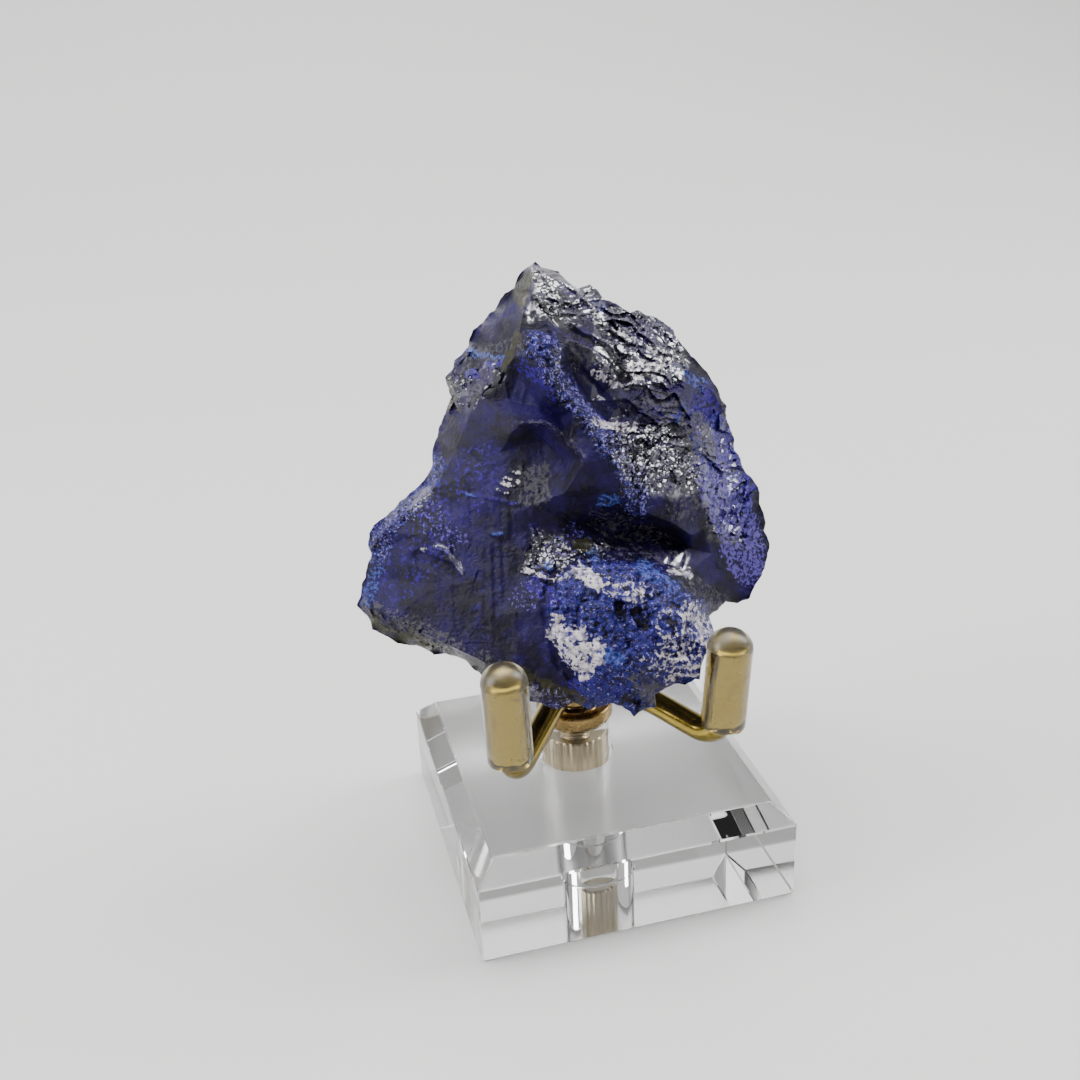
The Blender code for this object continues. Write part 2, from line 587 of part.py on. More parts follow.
def front_relief(places, depths):
    """Add ledges, crystal facets and crust lumps to the show face, by region."""
    ledges = np.maximum(smooth_mask(places, LEDGES), smooth_mask(places, RIBS))
    block = smooth_mask(places, BLOCK)
    crust = smooth_mask(places, CRUST)
    side = smooth_mask(places, SIDE)
    flank = smooth_mask(places, FLANK)
    for i, (x, y, _) in enumerate(places):
        waver = LEDGE_WAVER * noise.noise(Vector((x * 0.12, y * 0.12, 3.0)))
        climb = (x + y) / math.sqrt(2.0) / LEDGE_PITCH + waver
        saw = 0.5 - (climb - math.floor(climb))
        depths[i] += ledges[i] * (LEDGE_DEPTH * saw + facets((x, y, 1.0), 4.0, 1.1, 0.35))
        depths[i] += block[i] * (0.6 * LEDGE_DEPTH * saw + facets((x, y, 5.0), 3.5, 0.9, 0.3))
        depths[i] += side[i] * (0.4 * LEDGE_DEPTH * saw + facets((x, y, 2.0), 4.0, 1.2, 0.4))
        depths[i] += flank[i] * 0.5 * facets((x, y, 7.0), 5.0, 0.8, 0.3)
        lumps = noise.fractal(Vector((x, y, 9.0)) * CRUST_GRAIN, 0.9, 2.1, 3)
        depths[i] += crust[i] * CRUST_DEPTH * lumps
        depths[i] += FACE_UNEVENNESS * noise.noise(Vector((x, y, 0.0)) * 0.5)
    return depths


def back_relief(places, depths):
    """Break the back into large leaning facets."""
    for i, (x, y, _) in enumerate(places):
        swell = noise.noise(Vector((x, y, 4.0)) * 0.3) * BACK_STEP / 3.0
        depths[i] += facets((x, y, 12.0), BACK_FACET, BACK_STEP, 0.25) + swell
    return depths


def rim_distance(places, outline):
    """Measure how far flat places lie inside the outline."""
    rim = np.array(outline)[:, :2]
    return np.array([np.linalg.norm(rim - place[:2], axis=1).min() for place in places])


def side_depths(places, outline, own_net, other_net, relief, out):
    """Work out one side's depths: its net, its relief and a least thickness from the other side."""
    inset = rim_distance(places, outline)
    own = net_depth(own_net, places)
    other = net_depth(other_net, places)
    relieved = relief(places, own.copy())
    own = own + (relieved - own) * np.clip(inset / RELIEF_FADE, 0.0, 1.0)
    wanted = LEAST_FLARE * np.minimum(inset, LEAST_THICKNESS)
    short = np.maximum(wanted - out * (own - other), 0.0)
    own = own + out * short / 2.0
    own[:len(outline)] = [place[2] for place in outline]
    return own


def push_clear(place, start, end, radius):
    """Move a place straight out of a round-ended bar, if it is inside."""
    along = end - start
    share = max(0.0, min(1.0, (place - start).dot(along) / along.length_squared))
    nearest = start + along * share
    offset = place - nearest
    if offset.length < radius:
        return nearest + offset.normalized() * radius
    return place


def rest_clear(place):
    """Keep a place of the specimen off the arms, off the sleeves and above the hub."""
    place = place.copy()
    place.z = max(place.z, REST_HEIGHT)
    for side in ARMS:
        _, shoulder, elbow, upward = arm_corners(side)
        foot = ARMS[side][3] * MM
        tip = elbow + upward * (foot + SLEEVE_LENGTH - SLEEVE_RADIUS)
        place = push_clear(place, elbow, tip, SLEEVE_RADIUS + REST_GAP)
        place = push_clear(place, shoulder, elbow, ARM_RADIUS + REST_GAP)
    return place


def make_azurite(skin):
    """Build the specimen from its front and back sheets, joined along the outline."""
    outline = rough_outline()
    front_net = control_net(FRONT_CHAINS, FRONT_POINTS)
    back_net = control_net(BACK_CHAINS, BACK_POINTS)
    front, front_faces = sheet(outline, FRONT_CHAINS, FRONT_SPACING, 11)
    back, back_faces = sheet(outline, BACK_CHAINS, BACK_SPACING, 12)
    front_depths = side_depths(front, outline, front_net, back_net, front_relief, 1.0)
    back_depths = side_depths(back, outline, back_net, front_net, back_relief, -1.0)
    right, upward, outward = face_axes()
    bm = bmesh.new()
    rim = []

    def vertex(place, depth):
        flat = right * float(place[0]) + upward * float(place[1])
        return bm.verts.new(rest_clear(FACE_ORIGIN + (flat + outward * float(depth)) * MM))

    for place, depth in zip(front[:len(outline)], front_depths):
        rim.append(vertex(place, depth))
    front_verts = rim + [vertex(p, d) for p, d in zip(front[len(rim):], front_depths[len(rim):])]
    back_verts = rim + [vertex(p, d) for p, d in zip(back[len(rim):], back_depths[len(rim):])]
    for face in front_faces:
        bm.faces.new([front_verts[i] for i in face])
    for face in back_faces:
        bm.faces.new([back_verts[i] for i in reversed(face)])
    bmesh.ops.delete(bm, geom=[v for v in bm.verts if not v.link_faces], context="VERTS")
    bmesh.ops.recalc_face_normals(bm, faces=bm.faces)
    return object_from("azurite", bm, skin)


def main():
    """Build every piece."""
    clear_scene()
    clear = material("clear acrylic", (0.95, 0.96, 0.96), 0.03, transmission=1.0, ior=1.49)
    vinyl = material("clear vinyl", (0.9, 0.86, 0.75), 0.15, transmission=0.9, ior=1.52)
    brass = material("polished brass", (0.78, 0.62, 0.27), 0.2, metallic=1.0)
    warm_brass = material("warm turned brass", (0.80, 0.52, 0.20), 0.25, metallic=1.0)
    stone = material("azurite", (0.05, 0.05, 0.30), 0.25)
    make_base(clear)
    make_pillar(clear)
    make_stud(brass)
    make_collar(warm_brass)
    cutters = {}
    for side in ARMS:
        cutters[side] = make_cutter(rod("arm_path_" + side, side, ARM_RADIUS + GAP, GAP, brass))
        rod("brass_arm_" + side, side, ARM_RADIUS, 0.0, brass)
        make_sleeve(side, vinyl, cutters[side])
    make_hub(warm_brass, cutters.values())
    make_azurite(stone)


main()
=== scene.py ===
"""Looks for an azurite specimen held by brass arms above a clear acrylic block.

Sizes are in millimetres on the specimen's show face and in metres everywhere else, in the frame
of the solids.
"""
import math

import bmesh
import bpy
import numpy as np
from mathutils import Matrix, Vector
from mathutils.geometry import delaunay_2d_cdt


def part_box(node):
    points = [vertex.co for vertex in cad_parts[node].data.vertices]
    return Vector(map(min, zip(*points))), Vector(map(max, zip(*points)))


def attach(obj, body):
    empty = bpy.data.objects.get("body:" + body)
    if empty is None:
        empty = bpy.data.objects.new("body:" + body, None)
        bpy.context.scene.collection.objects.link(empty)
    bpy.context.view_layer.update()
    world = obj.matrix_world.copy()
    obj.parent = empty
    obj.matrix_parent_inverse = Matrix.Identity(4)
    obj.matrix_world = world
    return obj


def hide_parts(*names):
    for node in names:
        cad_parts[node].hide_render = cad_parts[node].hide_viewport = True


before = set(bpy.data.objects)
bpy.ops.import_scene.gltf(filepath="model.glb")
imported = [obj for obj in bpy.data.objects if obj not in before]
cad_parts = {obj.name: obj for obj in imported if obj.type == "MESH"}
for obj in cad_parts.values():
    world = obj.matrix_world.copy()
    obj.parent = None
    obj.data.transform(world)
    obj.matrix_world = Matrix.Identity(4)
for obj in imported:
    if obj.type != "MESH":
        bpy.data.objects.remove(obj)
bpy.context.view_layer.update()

bl_info = {
    "name": "Azurite display piece",
    "version": (1, 0, 0),
    "blender": (4, 5, 0),
    "location": "View3D > Sidebar > Azurite",
    "description": "Builds an azurite specimen on its acrylic and brass stand",
    "category": "Add Mesh",
}

MM = 0.001

# The stand, as in the solids
GAP = 0.0003
AXIS = Vector((-0.0024, 0.0003, 0.0))
ARM_LEVEL = 0.0271
SOCKET_RADIUS = 0.003
SHOULDER_BEND = 0.012
ELBOW_BEND = 0.004
ARM_RADIUS = 0.0017
SLEEVE_RADIUS = 0.003
SLEEVE_LENGTH = 0.0146
SLEEVE_CAP = 0.0025
SLEEVE_DOME = 0.0027
BASE_BEVEL = 0.0028
PILLAR_RADIUS = 0.00505
STUD_RADIUS = 0.002
STUD_FOOT = 0.0023
STUD_CHAMFER = 0.0003
INSERT_TOP = 0.0181
INSERT_RADIUS = 0.0029
INSERT_RIBS = 22
RIB_VALLEY = 0.93
SHANK_RADIUS = 0.0013
THREAD_PITCH = 0.0005
THREAD_DEPTH = 0.0002
COLLAR_RADIUS = 0.0055
COLLAR_EDGE = 0.0005
COLLAR_GROOVE = 0.0003
HUB_NECK_RADIUS = 0.003
HUB_RADIUS = 0.0045
HUB_NECK_TOP = 0.0246
HUB_FLARE_TOP = 0.0251
HUB_DOME = 0.0012
BEND_STEP = math.radians(6.0)
ROD_END_ROUND = 0.0004
SLEEVE_FOOT_ROUND = 0.0005
FOOT_RAGGED = 0.00012
FOOT_RAGGED_HEIGHT = 0.0012
ACRYLIC_IOR = 1.49
VINYL_IOR = 1.52
WORN_DEPTH = 0.00003
WORN_ROUGHNESS = 0.32
WORN_GLAZE = 1.0
GLAZE_ROUGHNESS = 0.02
# The sleeves' milky tops: level, reach, added roughness and no glaze
MILKY_DOME = (0.0436, 0.0030, 0.3, 0.0)
VINYL_ROUGHNESS = 0.06
# Greatest angles in degrees that are shaded smooth, and the sides of round pieces
STONE_SMOOTH = 28.0
CLEAR_SMOOTH = 18.0
METAL_SMOOTH = 35.0
THREAD_SMOOTH = 25.0
ROD_SMOOTH = 40.0
SLEEVE_SMOOTH = 60.0
BORE_SIDES = 96
TURNED_SIDES = 128
ROD_SIDES = 48
SLEEVE_SIDES = 72
MERGE_DISTANCE = 0.000002
# The stone's finish: refraction index, the coat on the silvery crests (whose colour is a painted glint),
# bump, and the brass's bump
STONE_IOR = 1.27
COAT_IOR = 2.6
COAT_ROUGHNESS = 0.14
STONE_BUMP = (0.75, 0.0003)
BRASS_BUMP = (0.12, 0.00005)
BRASS_SPREAD = 0.14

# The stage and the camera
FLOOR_SIDE = 6.0
FLOOR_LEVEL = -0.00005
SWEEP_START = 0.22
SWEEP_RADIUS = 0.7
SWEEP_STEPS = 24
SWEEP_ANGLE = math.radians(-80.0)
WALL_LEAN = 0.2
WALL_HEIGHT = 1.5
FLOOR_ROUGHNESS = 0.55
STONE_MIDDLE = (0.0, 0.0, 0.05)
# Soft lights: place, width, height and the setting that holds the power
LIGHTS = {
    "top_light": ((-0.05, 0.15, 0.80), 0.8, 0.6, "top_power"),
    "left_light": ((-0.55, 0.05, 0.35), 0.3, 0.4, "side_power"),
    "right_light": ((0.50, 0.05, 0.45), 0.25, 0.4, "side_power"),
}
CAMERA_PLACE = (-0.04527303, -0.15479568, 0.12630585)
CAMERA_RIGHT = (0.96483445, -0.26011197, -0.03789793)
CAMERA_UP = (0.14564799, 0.40900239, 0.900835)
CAMERA_LENS = 43.76
CAMERA_SENSOR = 36.0
# Shoulder, elbow, outward lean of the prong and height of the sleeve's foot above the elbow
ARMS = {
    "left": ((-0.0075, -0.0064, 0.0272), (-0.0162, -0.0187, 0.0256), 3.5, 0.0031),
    "right": ((0.0060, -0.0088, 0.0272), (0.0124, -0.0190, 0.0257), 3.8, 0.0026),
    "back": ((-0.0020, 0.0090, 0.0272), (-0.0016, 0.0174, 0.0262), 4.0, 0.0028),
}

# The specimen's show face: millimetres to the right, up and out of the face
FACE_ORIGIN = Vector((-0.0022, -0.0090, 0.0300))
FACE_TURN = math.radians(-14.0)
FACE_LEAN = math.radians(25.6)
FACE_ROLL = math.radians(-2.4)
REST_HEIGHT = 0.02995
REST_GAP = 0.0005
LEAST_FLARE = 0.9
LEAST_THICKNESS = 4.0
NICK_SPACING = 1.35
NICK = 0.22
CHIP_SIZE = 1.1
CHIP = 0.12
LATTICE_JITTER = 0.12
# The size of the waver of a line's and a shape's edge, a reach past everything, and the least area or length
LINE_WAVER = 1.6
SHAPE_WAVER = 2.2
FAR = 1e9
FLAT = 1e-9

OUTLINE = [
    (-9.5, 58.0, -1.0), (-8.0, 58.5, 0.0), (-4.5, 57.5, -2.0), (-2.0, 56.0, -4.0), (-0.3, 56.5, -4.0),
    (1.5, 54.5, -3.0), (5.5, 53.0, -5.0), (9.0, 52.0, -5.0), (11.5, 50.0, -4.0), (12.5, 47.0, -3.0),
    (16.0, 44.5, -5.0), (18.5, 41.0, -6.0), (20.0, 35.0, -6.0), (21.5, 30.5, -6.0), (23.5, 27.5, -6.0),
    (24.0, 23.5, -6.0), (25.0, 20.0, -6.0), (23.5, 16.0, -5.0), (21.5, 13.0, -4.0), (18.5, 12.0, -3.0),
    (16.0, 10.5, 0.0), (16.0, 8.5, 3.0), (14.8, 6.5, 7.0), (14.8, 4.5, 8.0), (14.2, 2.5, 8.0),
    (10.5, 2.0, 6.0), (8.0, 0.5, 6.0), (7.5, -1.0, 7.0), (5.5, -2.0, 8.0), (3.0, -0.5, 8.0),
    (0.5, -1.0, 8.0), (-2.5, -1.0, 7.0), (-6.0, -1.0, 4.0), (-9.0, -0.5, 3.0), (-12.5, 1.0, 2.0),
    (-15.5, 3.0, 1.5), (-18.5, 5.0, 1.0), (-23.0, 6.0, 0.5), (-26.5, 7.0, 0.0), (-29.5, 8.5, 0.0),
    (-32.0, 12.0, 0.0), (-31.0, 16.0, -1.0), (-31.0, 19.0, -2.0), (-30.5, 22.0, -2.0), (-27.5, 25.5, -3.0),
    (-23.5, 28.5, -3.0), (-22.5, 31.5, -4.0), (-21.5, 35.5, -4.0), (-20.5, 39.0, -5.0), (-19.5, 40.5, -4.0),
    (-20.5, 43.5, -5.0), (-17.5, 48.0, -5.0), (-16.5, 50.0, -5.0), (-13.5, 53.0, -4.0), (-11.0, 55.5, -3.0),
]
FRONT_CHAINS = [
    [(-8.5, 57.5, 2.5), (-8.0, 54.0, 4.5), (-9.5, 50.5, 6.0), (-10.0, 48.0, 6.5), (-10.5, 45.0, 6.0)],
    [(-10.5, 54.0, 0.5), (-11.0, 50.5, 2.5)],
    [(-6.5, 56.5, 2.5), (-4.5, 53.0, 2.5), (-2.0, 51.5, 2.0), (-1.0, 49.5, 3.0)],
    [(-7.5, 51.5, 6.0), (-6.0, 51.0, 6.0), (-4.0, 50.0, 5.5)],
    [(-7.0, 48.5, 6.5), (-3.5, 47.0, 6.5), (0.0, 46.5, 5.0), (3.0, 43.5, 4.0)],
    [(-3.0, 45.0, 5.0), (0.0, 43.0, 4.5), (2.5, 41.5, 3.5)],
    [
        (-9.0, 45.0, 8.0), (-7.0, 43.5, 9.5), (-5.0, 41.0, 9.5), (-2.5, 38.0, 10.0), (0.0, 34.0, 10.0),
        (2.5, 31.0, 9.5), (4.0, 26.5, 8.5), (6.5, 24.5, 7.0), (10.5, 23.0, 5.0), (13.0, 21.5, 3.0),
    ],
    [(-2.5, 43.0, 4.0), (-0.5, 39.5, 3.5), (2.0, 37.0, 4.0)],
    [
        (-11.0, 35.0, 6.5), (-9.5, 36.0, 8.0), (-6.5, 36.0, 8.8), (-3.5, 34.0, 10.0), (-1.5, 31.0, 10.5),
        (0.0, 28.0, 9.5),
    ],
    [(-10.0, 33.5, 4.8), (-7.0, 34.0, 5.0), (-4.5, 31.5, 6.0)],
    [(-10.0, 33.5, 4.8), (-9.5, 29.0, 5.5), (-8.0, 25.5, 6.5)],
    [(-8.0, 25.5, 6.5), (-4.0, 23.0, 4.8), (-0.5, 24.5, 5.5)],
    [(1.0, 23.0, 3.0), (4.5, 22.0, 1.5), (8.5, 21.5, 1.0), (13.0, 19.8, 0.5)],
    [(-9.0, 22.5, 5.5), (-4.0, 20.5, 6.0), (1.0, 19.5, 5.5), (6.5, 18.7, 5.0), (12.5, 16.5, 4.0)],
    [(2.5, 51.0, -1.0), (7.0, 49.0, -1.0), (11.0, 46.0, -1.5)],
    [(0.5, 49.0, 2.0), (3.5, 47.0, 2.5), (6.5, 44.5, 2.5), (9.5, 42.0, 2.5)],
    [(3.5, 39.5, 5.0), (6.5, 38.0, 5.0), (10.0, 35.5, 4.0)],
    [(11.5, 38.5, 3.5), (13.0, 31.5, 4.0), (13.0, 27.0, 4.0), (15.0, 22.5, 1.0)],
    [
        (12.5, 13.0, 6.5), (8.5, 16.0, 8.0), (4.0, 17.5, 8.5), (-1.5, 17.5, 8.0), (-4.5, 16.0, 7.5),
        (-6.0, 12.0, 9.0), (-4.5, 8.0, 9.5), (-2.5, 4.0, 9.5), (-2.5, 1.0, 9.0),
    ],
    [
        (-30.5, 12.5, 2.0), (-27.0, 10.5, 3.5), (-23.0, 8.7, 5.0), (-19.0, 7.0, 6.5), (-15.0, 5.2, 7.5),
        (-11.0, 3.2, 8.5), (-7.0, 1.0, 8.5),
    ],
]
FRONT_POINTS = [
    (-3.0, 55.5, -0.5), (0.0, 52.5, 0.0), (-7.0, 46.0, 10.0), (-4.5, 45.3, 8.0), (-10.0, 42.5, 4.5),
    (-11.5, 39.5, 4.0), (-7.5, 38.5, 5.2), (-4.5, 36.8, 6.0), (-6.5, 28.5, 6.0), (-4.0, 27.0, 8.5),
    (3.5, 34.5, 7.5), (5.5, 31.5, 7.0), (8.5, 29.5, 6.5), (7.0, 34.5, 6.0), (10.0, 27.0, 6.0),
    (14.5, 41.5, -2.0), (16.5, 36.0, -2.0), (18.0, 29.5, -2.0), (19.0, 24.5, -2.5), (19.5, 19.0, -2.5),
    (16.5, 15.0, 0.0), (16.0, 19.0, 0.0), (-0.5, 14.5, 10.0), (4.0, 13.5, 10.5), (9.0, 12.5, 9.5),
    (1.5, 9.0, 11.0), (6.5, 8.5, 10.5), (11.0, 9.0, 10.0), (0.5, 4.5, 10.5), (5.0, 4.5, 10.5),
    (10.0, 5.5, 9.5), (2.5, 1.5, 9.5), (6.0, 0.8, 9.0), (-28.5, 22.0, 1.0), (-25.5, 24.5, 1.0),
    (-22.0, 27.5, 1.5), (-18.0, 29.0, 3.0), (-15.0, 31.0, 3.5), (-12.5, 32.5, 4.5), (-23.5, 21.5, 3.0),
    (-17.0, 24.5, 4.2), (-12.5, 27.5, 5.0), (-11.0, 24.0, 5.5), (-21.0, 15.0, 4.5), (-14.5, 18.5, 5.5),
    (-9.5, 18.0, 6.2), (-13.5, 11.0, 7.2), (-10.0, 7.5, 8.3), (-13.0, 51.0, -0.5), (-14.0, 47.5, 1.0),
    (-14.5, 44.0, 1.5), (-15.5, 40.5, 2.0), (-17.0, 37.0, 1.5), (-18.5, 33.5, 1.0), (-20.0, 30.5, 0.5),
    (-12.0, 47.0, 3.5), (-12.5, 43.0, 4.5), (-13.0, 38.5, 4.5), (-14.0, 34.5, 4.0),
]
BACK_CHAINS = [
    [(-9.0, 54.0, -7.0), (-7.0, 46.0, -11.0), (-3.0, 37.0, -15.0), (2.0, 27.0, -17.0), (4.0, 17.0, -17.5)],
    [(-16.0, 40.0, -9.0), (-18.0, 31.0, -11.0), (-22.0, 22.0, -10.0), (-24.0, 14.0, -8.0)],
    [(6.0, 47.0, -10.0), (11.0, 38.0, -12.0), (15.0, 29.0, -13.0), (16.0, 20.0, -12.0)],
    [(-21.0, 10.5, -8.0), (-12.0, 9.5, -14.0), (-2.0, 9.0, -17.0), (8.0, 9.5, -16.0), (13.0, 11.0, -11.0)],
]
BACK_POINTS = [
    (-13.0, 47.0, -7.5), (0.0, 50.0, -9.0), (-8.0, 33.0, -13.0), (-10.0, 22.0, -15.0), (-13.0, 15.0, -14.5),
    (8.0, 30.0, -14.0), (9.0, 20.0, -16.0), (20.0, 28.0, -9.5), (20.5, 20.0, -9.0), (-26.0, 21.0, -6.0),
    (-27.5, 14.0, -5.0), (-6.0, 15.0, -17.5), (2.0, 42.0, -12.0),
]


def hashed(ix, iy, seed):
    """Give a repeatable number from nought to one for each pair of whole numbers."""
    h = (ix.astype(np.int64) * 374761393 + iy.astype(np.int64) * 668265263 + seed * 69069) & 0xFFFFFFFF
    h = ((h ^ (h >> 13)) * 1274126177) & 0xFFFFFFFF
    h = ((h ^ (h >> 15)) * 2246822519) & 0xFFFFFFFF
    return ((h ^ (h >> 16)) & 0xFFFFFF) / float(0xFFFFFF)


def ripple(x, y, seed):
    """Give smooth noise from minus one to one with features about one unit wide."""
    fx, fy = np.floor(x), np.floor(y)
    tx, ty = x - fx, y - fy
    tx = tx * tx * tx * (tx * (tx * 6.0 - 15.0) + 10.0)
    ty = ty * ty * ty * (ty * (ty * 6.0 - 15.0) + 10.0)
    low = hashed(fx, fy, seed) * (1.0 - tx) + hashed(fx + 1, fy, seed) * tx
    high = hashed(fx, fy + 1, seed) * (1.0 - tx) + hashed(fx + 1, fy + 1, seed) * tx
    return (low * (1.0 - ty) + high * ty) * 2.0 - 1.0


def rough(x, y, size, seed, octaves=3, gain=0.55):
    """Give layered noise from about minus one to one, its largest features of the given size."""
    total = np.zeros_like(x)
    strength, reach = 1.0, 0.0
    for octave in range(octaves):
        scale = 2.03 ** octave / size
        total += strength * ripple(x * scale + 31.7 * octave, y * scale - 17.3 * octave, seed + octave)
        reach += strength
        strength *= gain
    return total / reach * 1.4


def turned(x, y, degrees):
    """Give coordinates along and across a direction on the face."""
    angle = math.radians(degrees)
    return x * math.cos(angle) + y * math.sin(angle), y * math.cos(angle) - x * math.sin(angle)


def crystals(x, y, size, seed):
    """Split the face into cells, and give each place its offset, its cell's three numbers and its reach."""
    gx, gy = np.floor(x / size), np.floor(y / size)
    best = np.full(x.shape, FAR)
    dx, dy, cx, cy = (np.zeros_like(x) for _ in range(4))
    for i in (-1, 0, 1):
        for j in (-1, 0, 1):
            px = (gx + i + 0.1 + 0.8 * hashed(gx + i, gy + j, seed)) * size
            py = (gy + j + 0.1 + 0.8 * hashed(gx + i, gy + j, seed + 7)) * size
            distance = np.hypot(x - px, y - py)
            nearer = distance < best
            best = np.where(nearer, distance, best)
            dx, dy = np.where(nearer, x - px, dx), np.where(nearer, y - py, dy)
            cx, cy = np.where(nearer, gx + i, cx), np.where(nearer, gy + j, cy)
    a, b, c = (hashed(cx, cy, seed + 20 + k) - 0.5 for k in range(3))
    return dx, dy, a, b, c, best / size


def facets(x, y, size, step, lean, seed):
    """Give the height of a surface broken into leaning facets with steps between them."""
    dx, dy, a, b, c, _ = crystals(x, y, size, seed)
    return c * step + lean * (a * dx + b * dy)


def granules(x, y, size, seed):
    """Give the height, up to one, of packed rounded grains of the given size."""
    _, _, a, _, _, middle = crystals(x, y, size, seed)
    return np.clip(1.0 - middle * middle * 1.6, 0.0, 1.0) * (0.7 + 0.6 * a)


def ledges(x, y, degrees, pitch, waver, seed):
    """Give a saw profile of broken ledges whose lines run in a direction, from minus a half to a half."""
    along, across = turned(x, y, degrees)
    climb = across / pitch + 4.5 * waver * rough(x, y, pitch * 4.5, seed, 3, 0.6)
    climb = climb + 1.6 * rough(x, y, pitch * 9.0, seed + 5, 2)
    run = along / (pitch * 5.0) + hashed(np.floor(climb), np.zeros_like(climb), seed) * 9.0
    bite = 0.1 + 1.5 * hashed(np.floor(climb), np.floor(run), seed + 3)
    return (0.5 - (climb - np.floor(climb))) * bite


def line_distance(places, line):
    """Measure how far flat places lie from a run of straight lines."""
    best = np.full(len(places), FAR)
    for start, end in zip(line, line[1:]):
        start, step = np.array(start), np.array(end) - np.array(start)
        share = np.clip(((places - start) @ step) / max(step @ step, FLAT), 0.0, 1.0)
        best = np.minimum(best, np.linalg.norm(places - start - share[:, None] * step, axis=1))
    return best


def near_line(places, line, width, soft, waver, seed):
    """Fade from one on a line of given half width to nought beyond its soft and wavering edge."""
    edge = line_distance(places, line) + waver * rough(places[:, 0], places[:, 1], LINE_WAVER, seed + 60)
    return np.clip(1.0 - (edge - width) / soft, 0.0, 1.0)


def within(places, shape, soft, waver, seed):
    """Fade from one inside a closed shape to nought outside it, with a soft and wavering edge."""
    rim = line_distance(places, shape + shape[:1])
    depth = np.where(inside_outline(places, shape), rim, -rim)
    depth = depth + waver * rough(places[:, 0], places[:, 1], SHAPE_WAVER, seed + 80)
    return np.clip(0.5 + depth / soft, 0.0, 1.0)


def face_axes():
    """Give the show face's right, up and outward directions."""
    level_share = math.cos(FACE_LEAN)
    outward = Vector((
        math.sin(FACE_TURN) * level_share, -math.cos(FACE_TURN) * level_share, math.sin(FACE_LEAN),
    ))
    level = Vector((0.0, 0.0, 1.0)).cross(outward).normalized()
    steep = outward.cross(level)
    right = level * math.cos(FACE_ROLL) + steep * math.sin(FACE_ROLL)
    upward = steep * math.cos(FACE_ROLL) - level * math.sin(FACE_ROLL)
    return right, upward, outward


def triangulate(points, edges):
    """Triangulate flat points inside their outline, and give each new vertex its source point."""
    flat = [Vector((p[0], p[1])) for p in points]
    places, _, faces, sources, _, _ = delaunay_2d_cdt(flat, edges, [], 1, 0.0001)
    known = np.array([p[:2] for p in points])
    origin = []
    for place, found in zip(places, sources):
        if found:
            origin.append(found[0])
        else:
            origin.append(int(np.argmin(np.hypot(known[:, 0] - place.x, known[:, 1] - place.y))))
    return origin, faces


def loop_edges(count):
    """List the edges of a closed loop of the first count points."""
    return [(i, (i + 1) % count) for i in range(count)]


def control_net(chains, loose):
    """Triangulate the outline, the chains and the loose points of one side of the specimen."""
    points = list(OUTLINE)
    edges = loop_edges(len(points))
    for chain in chains:
        first = len(points)
        points += chain
        edges += [(first + i, first + i + 1) for i in range(len(chain) - 1)]
    points += loose
    origin, faces = triangulate(points, edges)
    corners = np.array([points[i] for i in origin])
    return corners[np.array(faces)]


def net_depth(net, places):
    """Read the net's depth at flat places, from the triangle that each lies in or nearest to."""
    best = np.full(len(places), -FAR)
    depth = np.zeros(len(places))
    for a, b, c in net:
        ab, ac, ap = b[:2] - a[:2], c[:2] - a[:2], places[:, :2] - a[:2]
        area = ab[0] * ac[1] - ab[1] * ac[0]
        if abs(area) < FLAT:
            continue
        s = (ap[:, 0] * ac[1] - ap[:, 1] * ac[0]) / area
        t = (ab[0] * ap[:, 1] - ab[1] * ap[:, 0]) / area
        inside = np.minimum(np.minimum(s, t), 1.0 - s - t)
        better = inside > best
        weights = np.clip(np.stack([1.0 - s - t, s, t]), 0.0, 1.0)
        weights /= weights.sum(axis=0)
        depth = np.where(better, weights[0] * a[2] + weights[1] * b[2] + weights[2] * c[2], depth)
        best = np.where(better, inside, best)
    return depth


def walk(chain, spacing, closed=False):
    """Place points along a chain about one spacing apart, its own corners among them."""
    corners = [np.array(p) for p in chain]
    ends = corners[1:] + corners[:1] if closed else corners[1:]
    places = []
    for start, end in zip(corners, ends):
        count = max(1, round(float(np.linalg.norm(end[:2] - start[:2])) / spacing))
        places += [start + (end - start) * i / count for i in range(count)]
    if not closed:
        places.append(corners[-1])
    return places


def inside_outline(places, outline):
    """Tell which flat places lie inside the outline, by counting crossings."""
    inside = np.zeros(len(places), bool)
    for start, end in zip(outline, outline[1:] + outline[:1]):
        height = end[1] - start[1]
        if abs(height) < FLAT:
            continue
        crosses = (start[1] > places[:, 1]) != (end[1] > places[:, 1])
        reach = start[0] + (places[:, 1] - start[1]) * (end[0] - start[0]) / height
        inside ^= crosses & (places[:, 0] < reach)
    return inside


def fine_outline(spacing):
    """Walk round the solid's nicked outline, and chip it finely between the nicks."""
    places = walk(OUTLINE, NICK_SPACING, closed=True)
    rng = np.random.default_rng(5)
    nicks = rng.normal(0.0, NICK, (len(places), 3))
    places = walk([place + nick for place, nick in zip(places, nicks)], spacing, closed=True)
    places = np.array(places)
    chips = np.stack([rough(places[:, 0], places[:, 1], CHIP_SIZE, 200 + k) for k in range(3)], axis=1)
    return list(places + CHIP * chips)


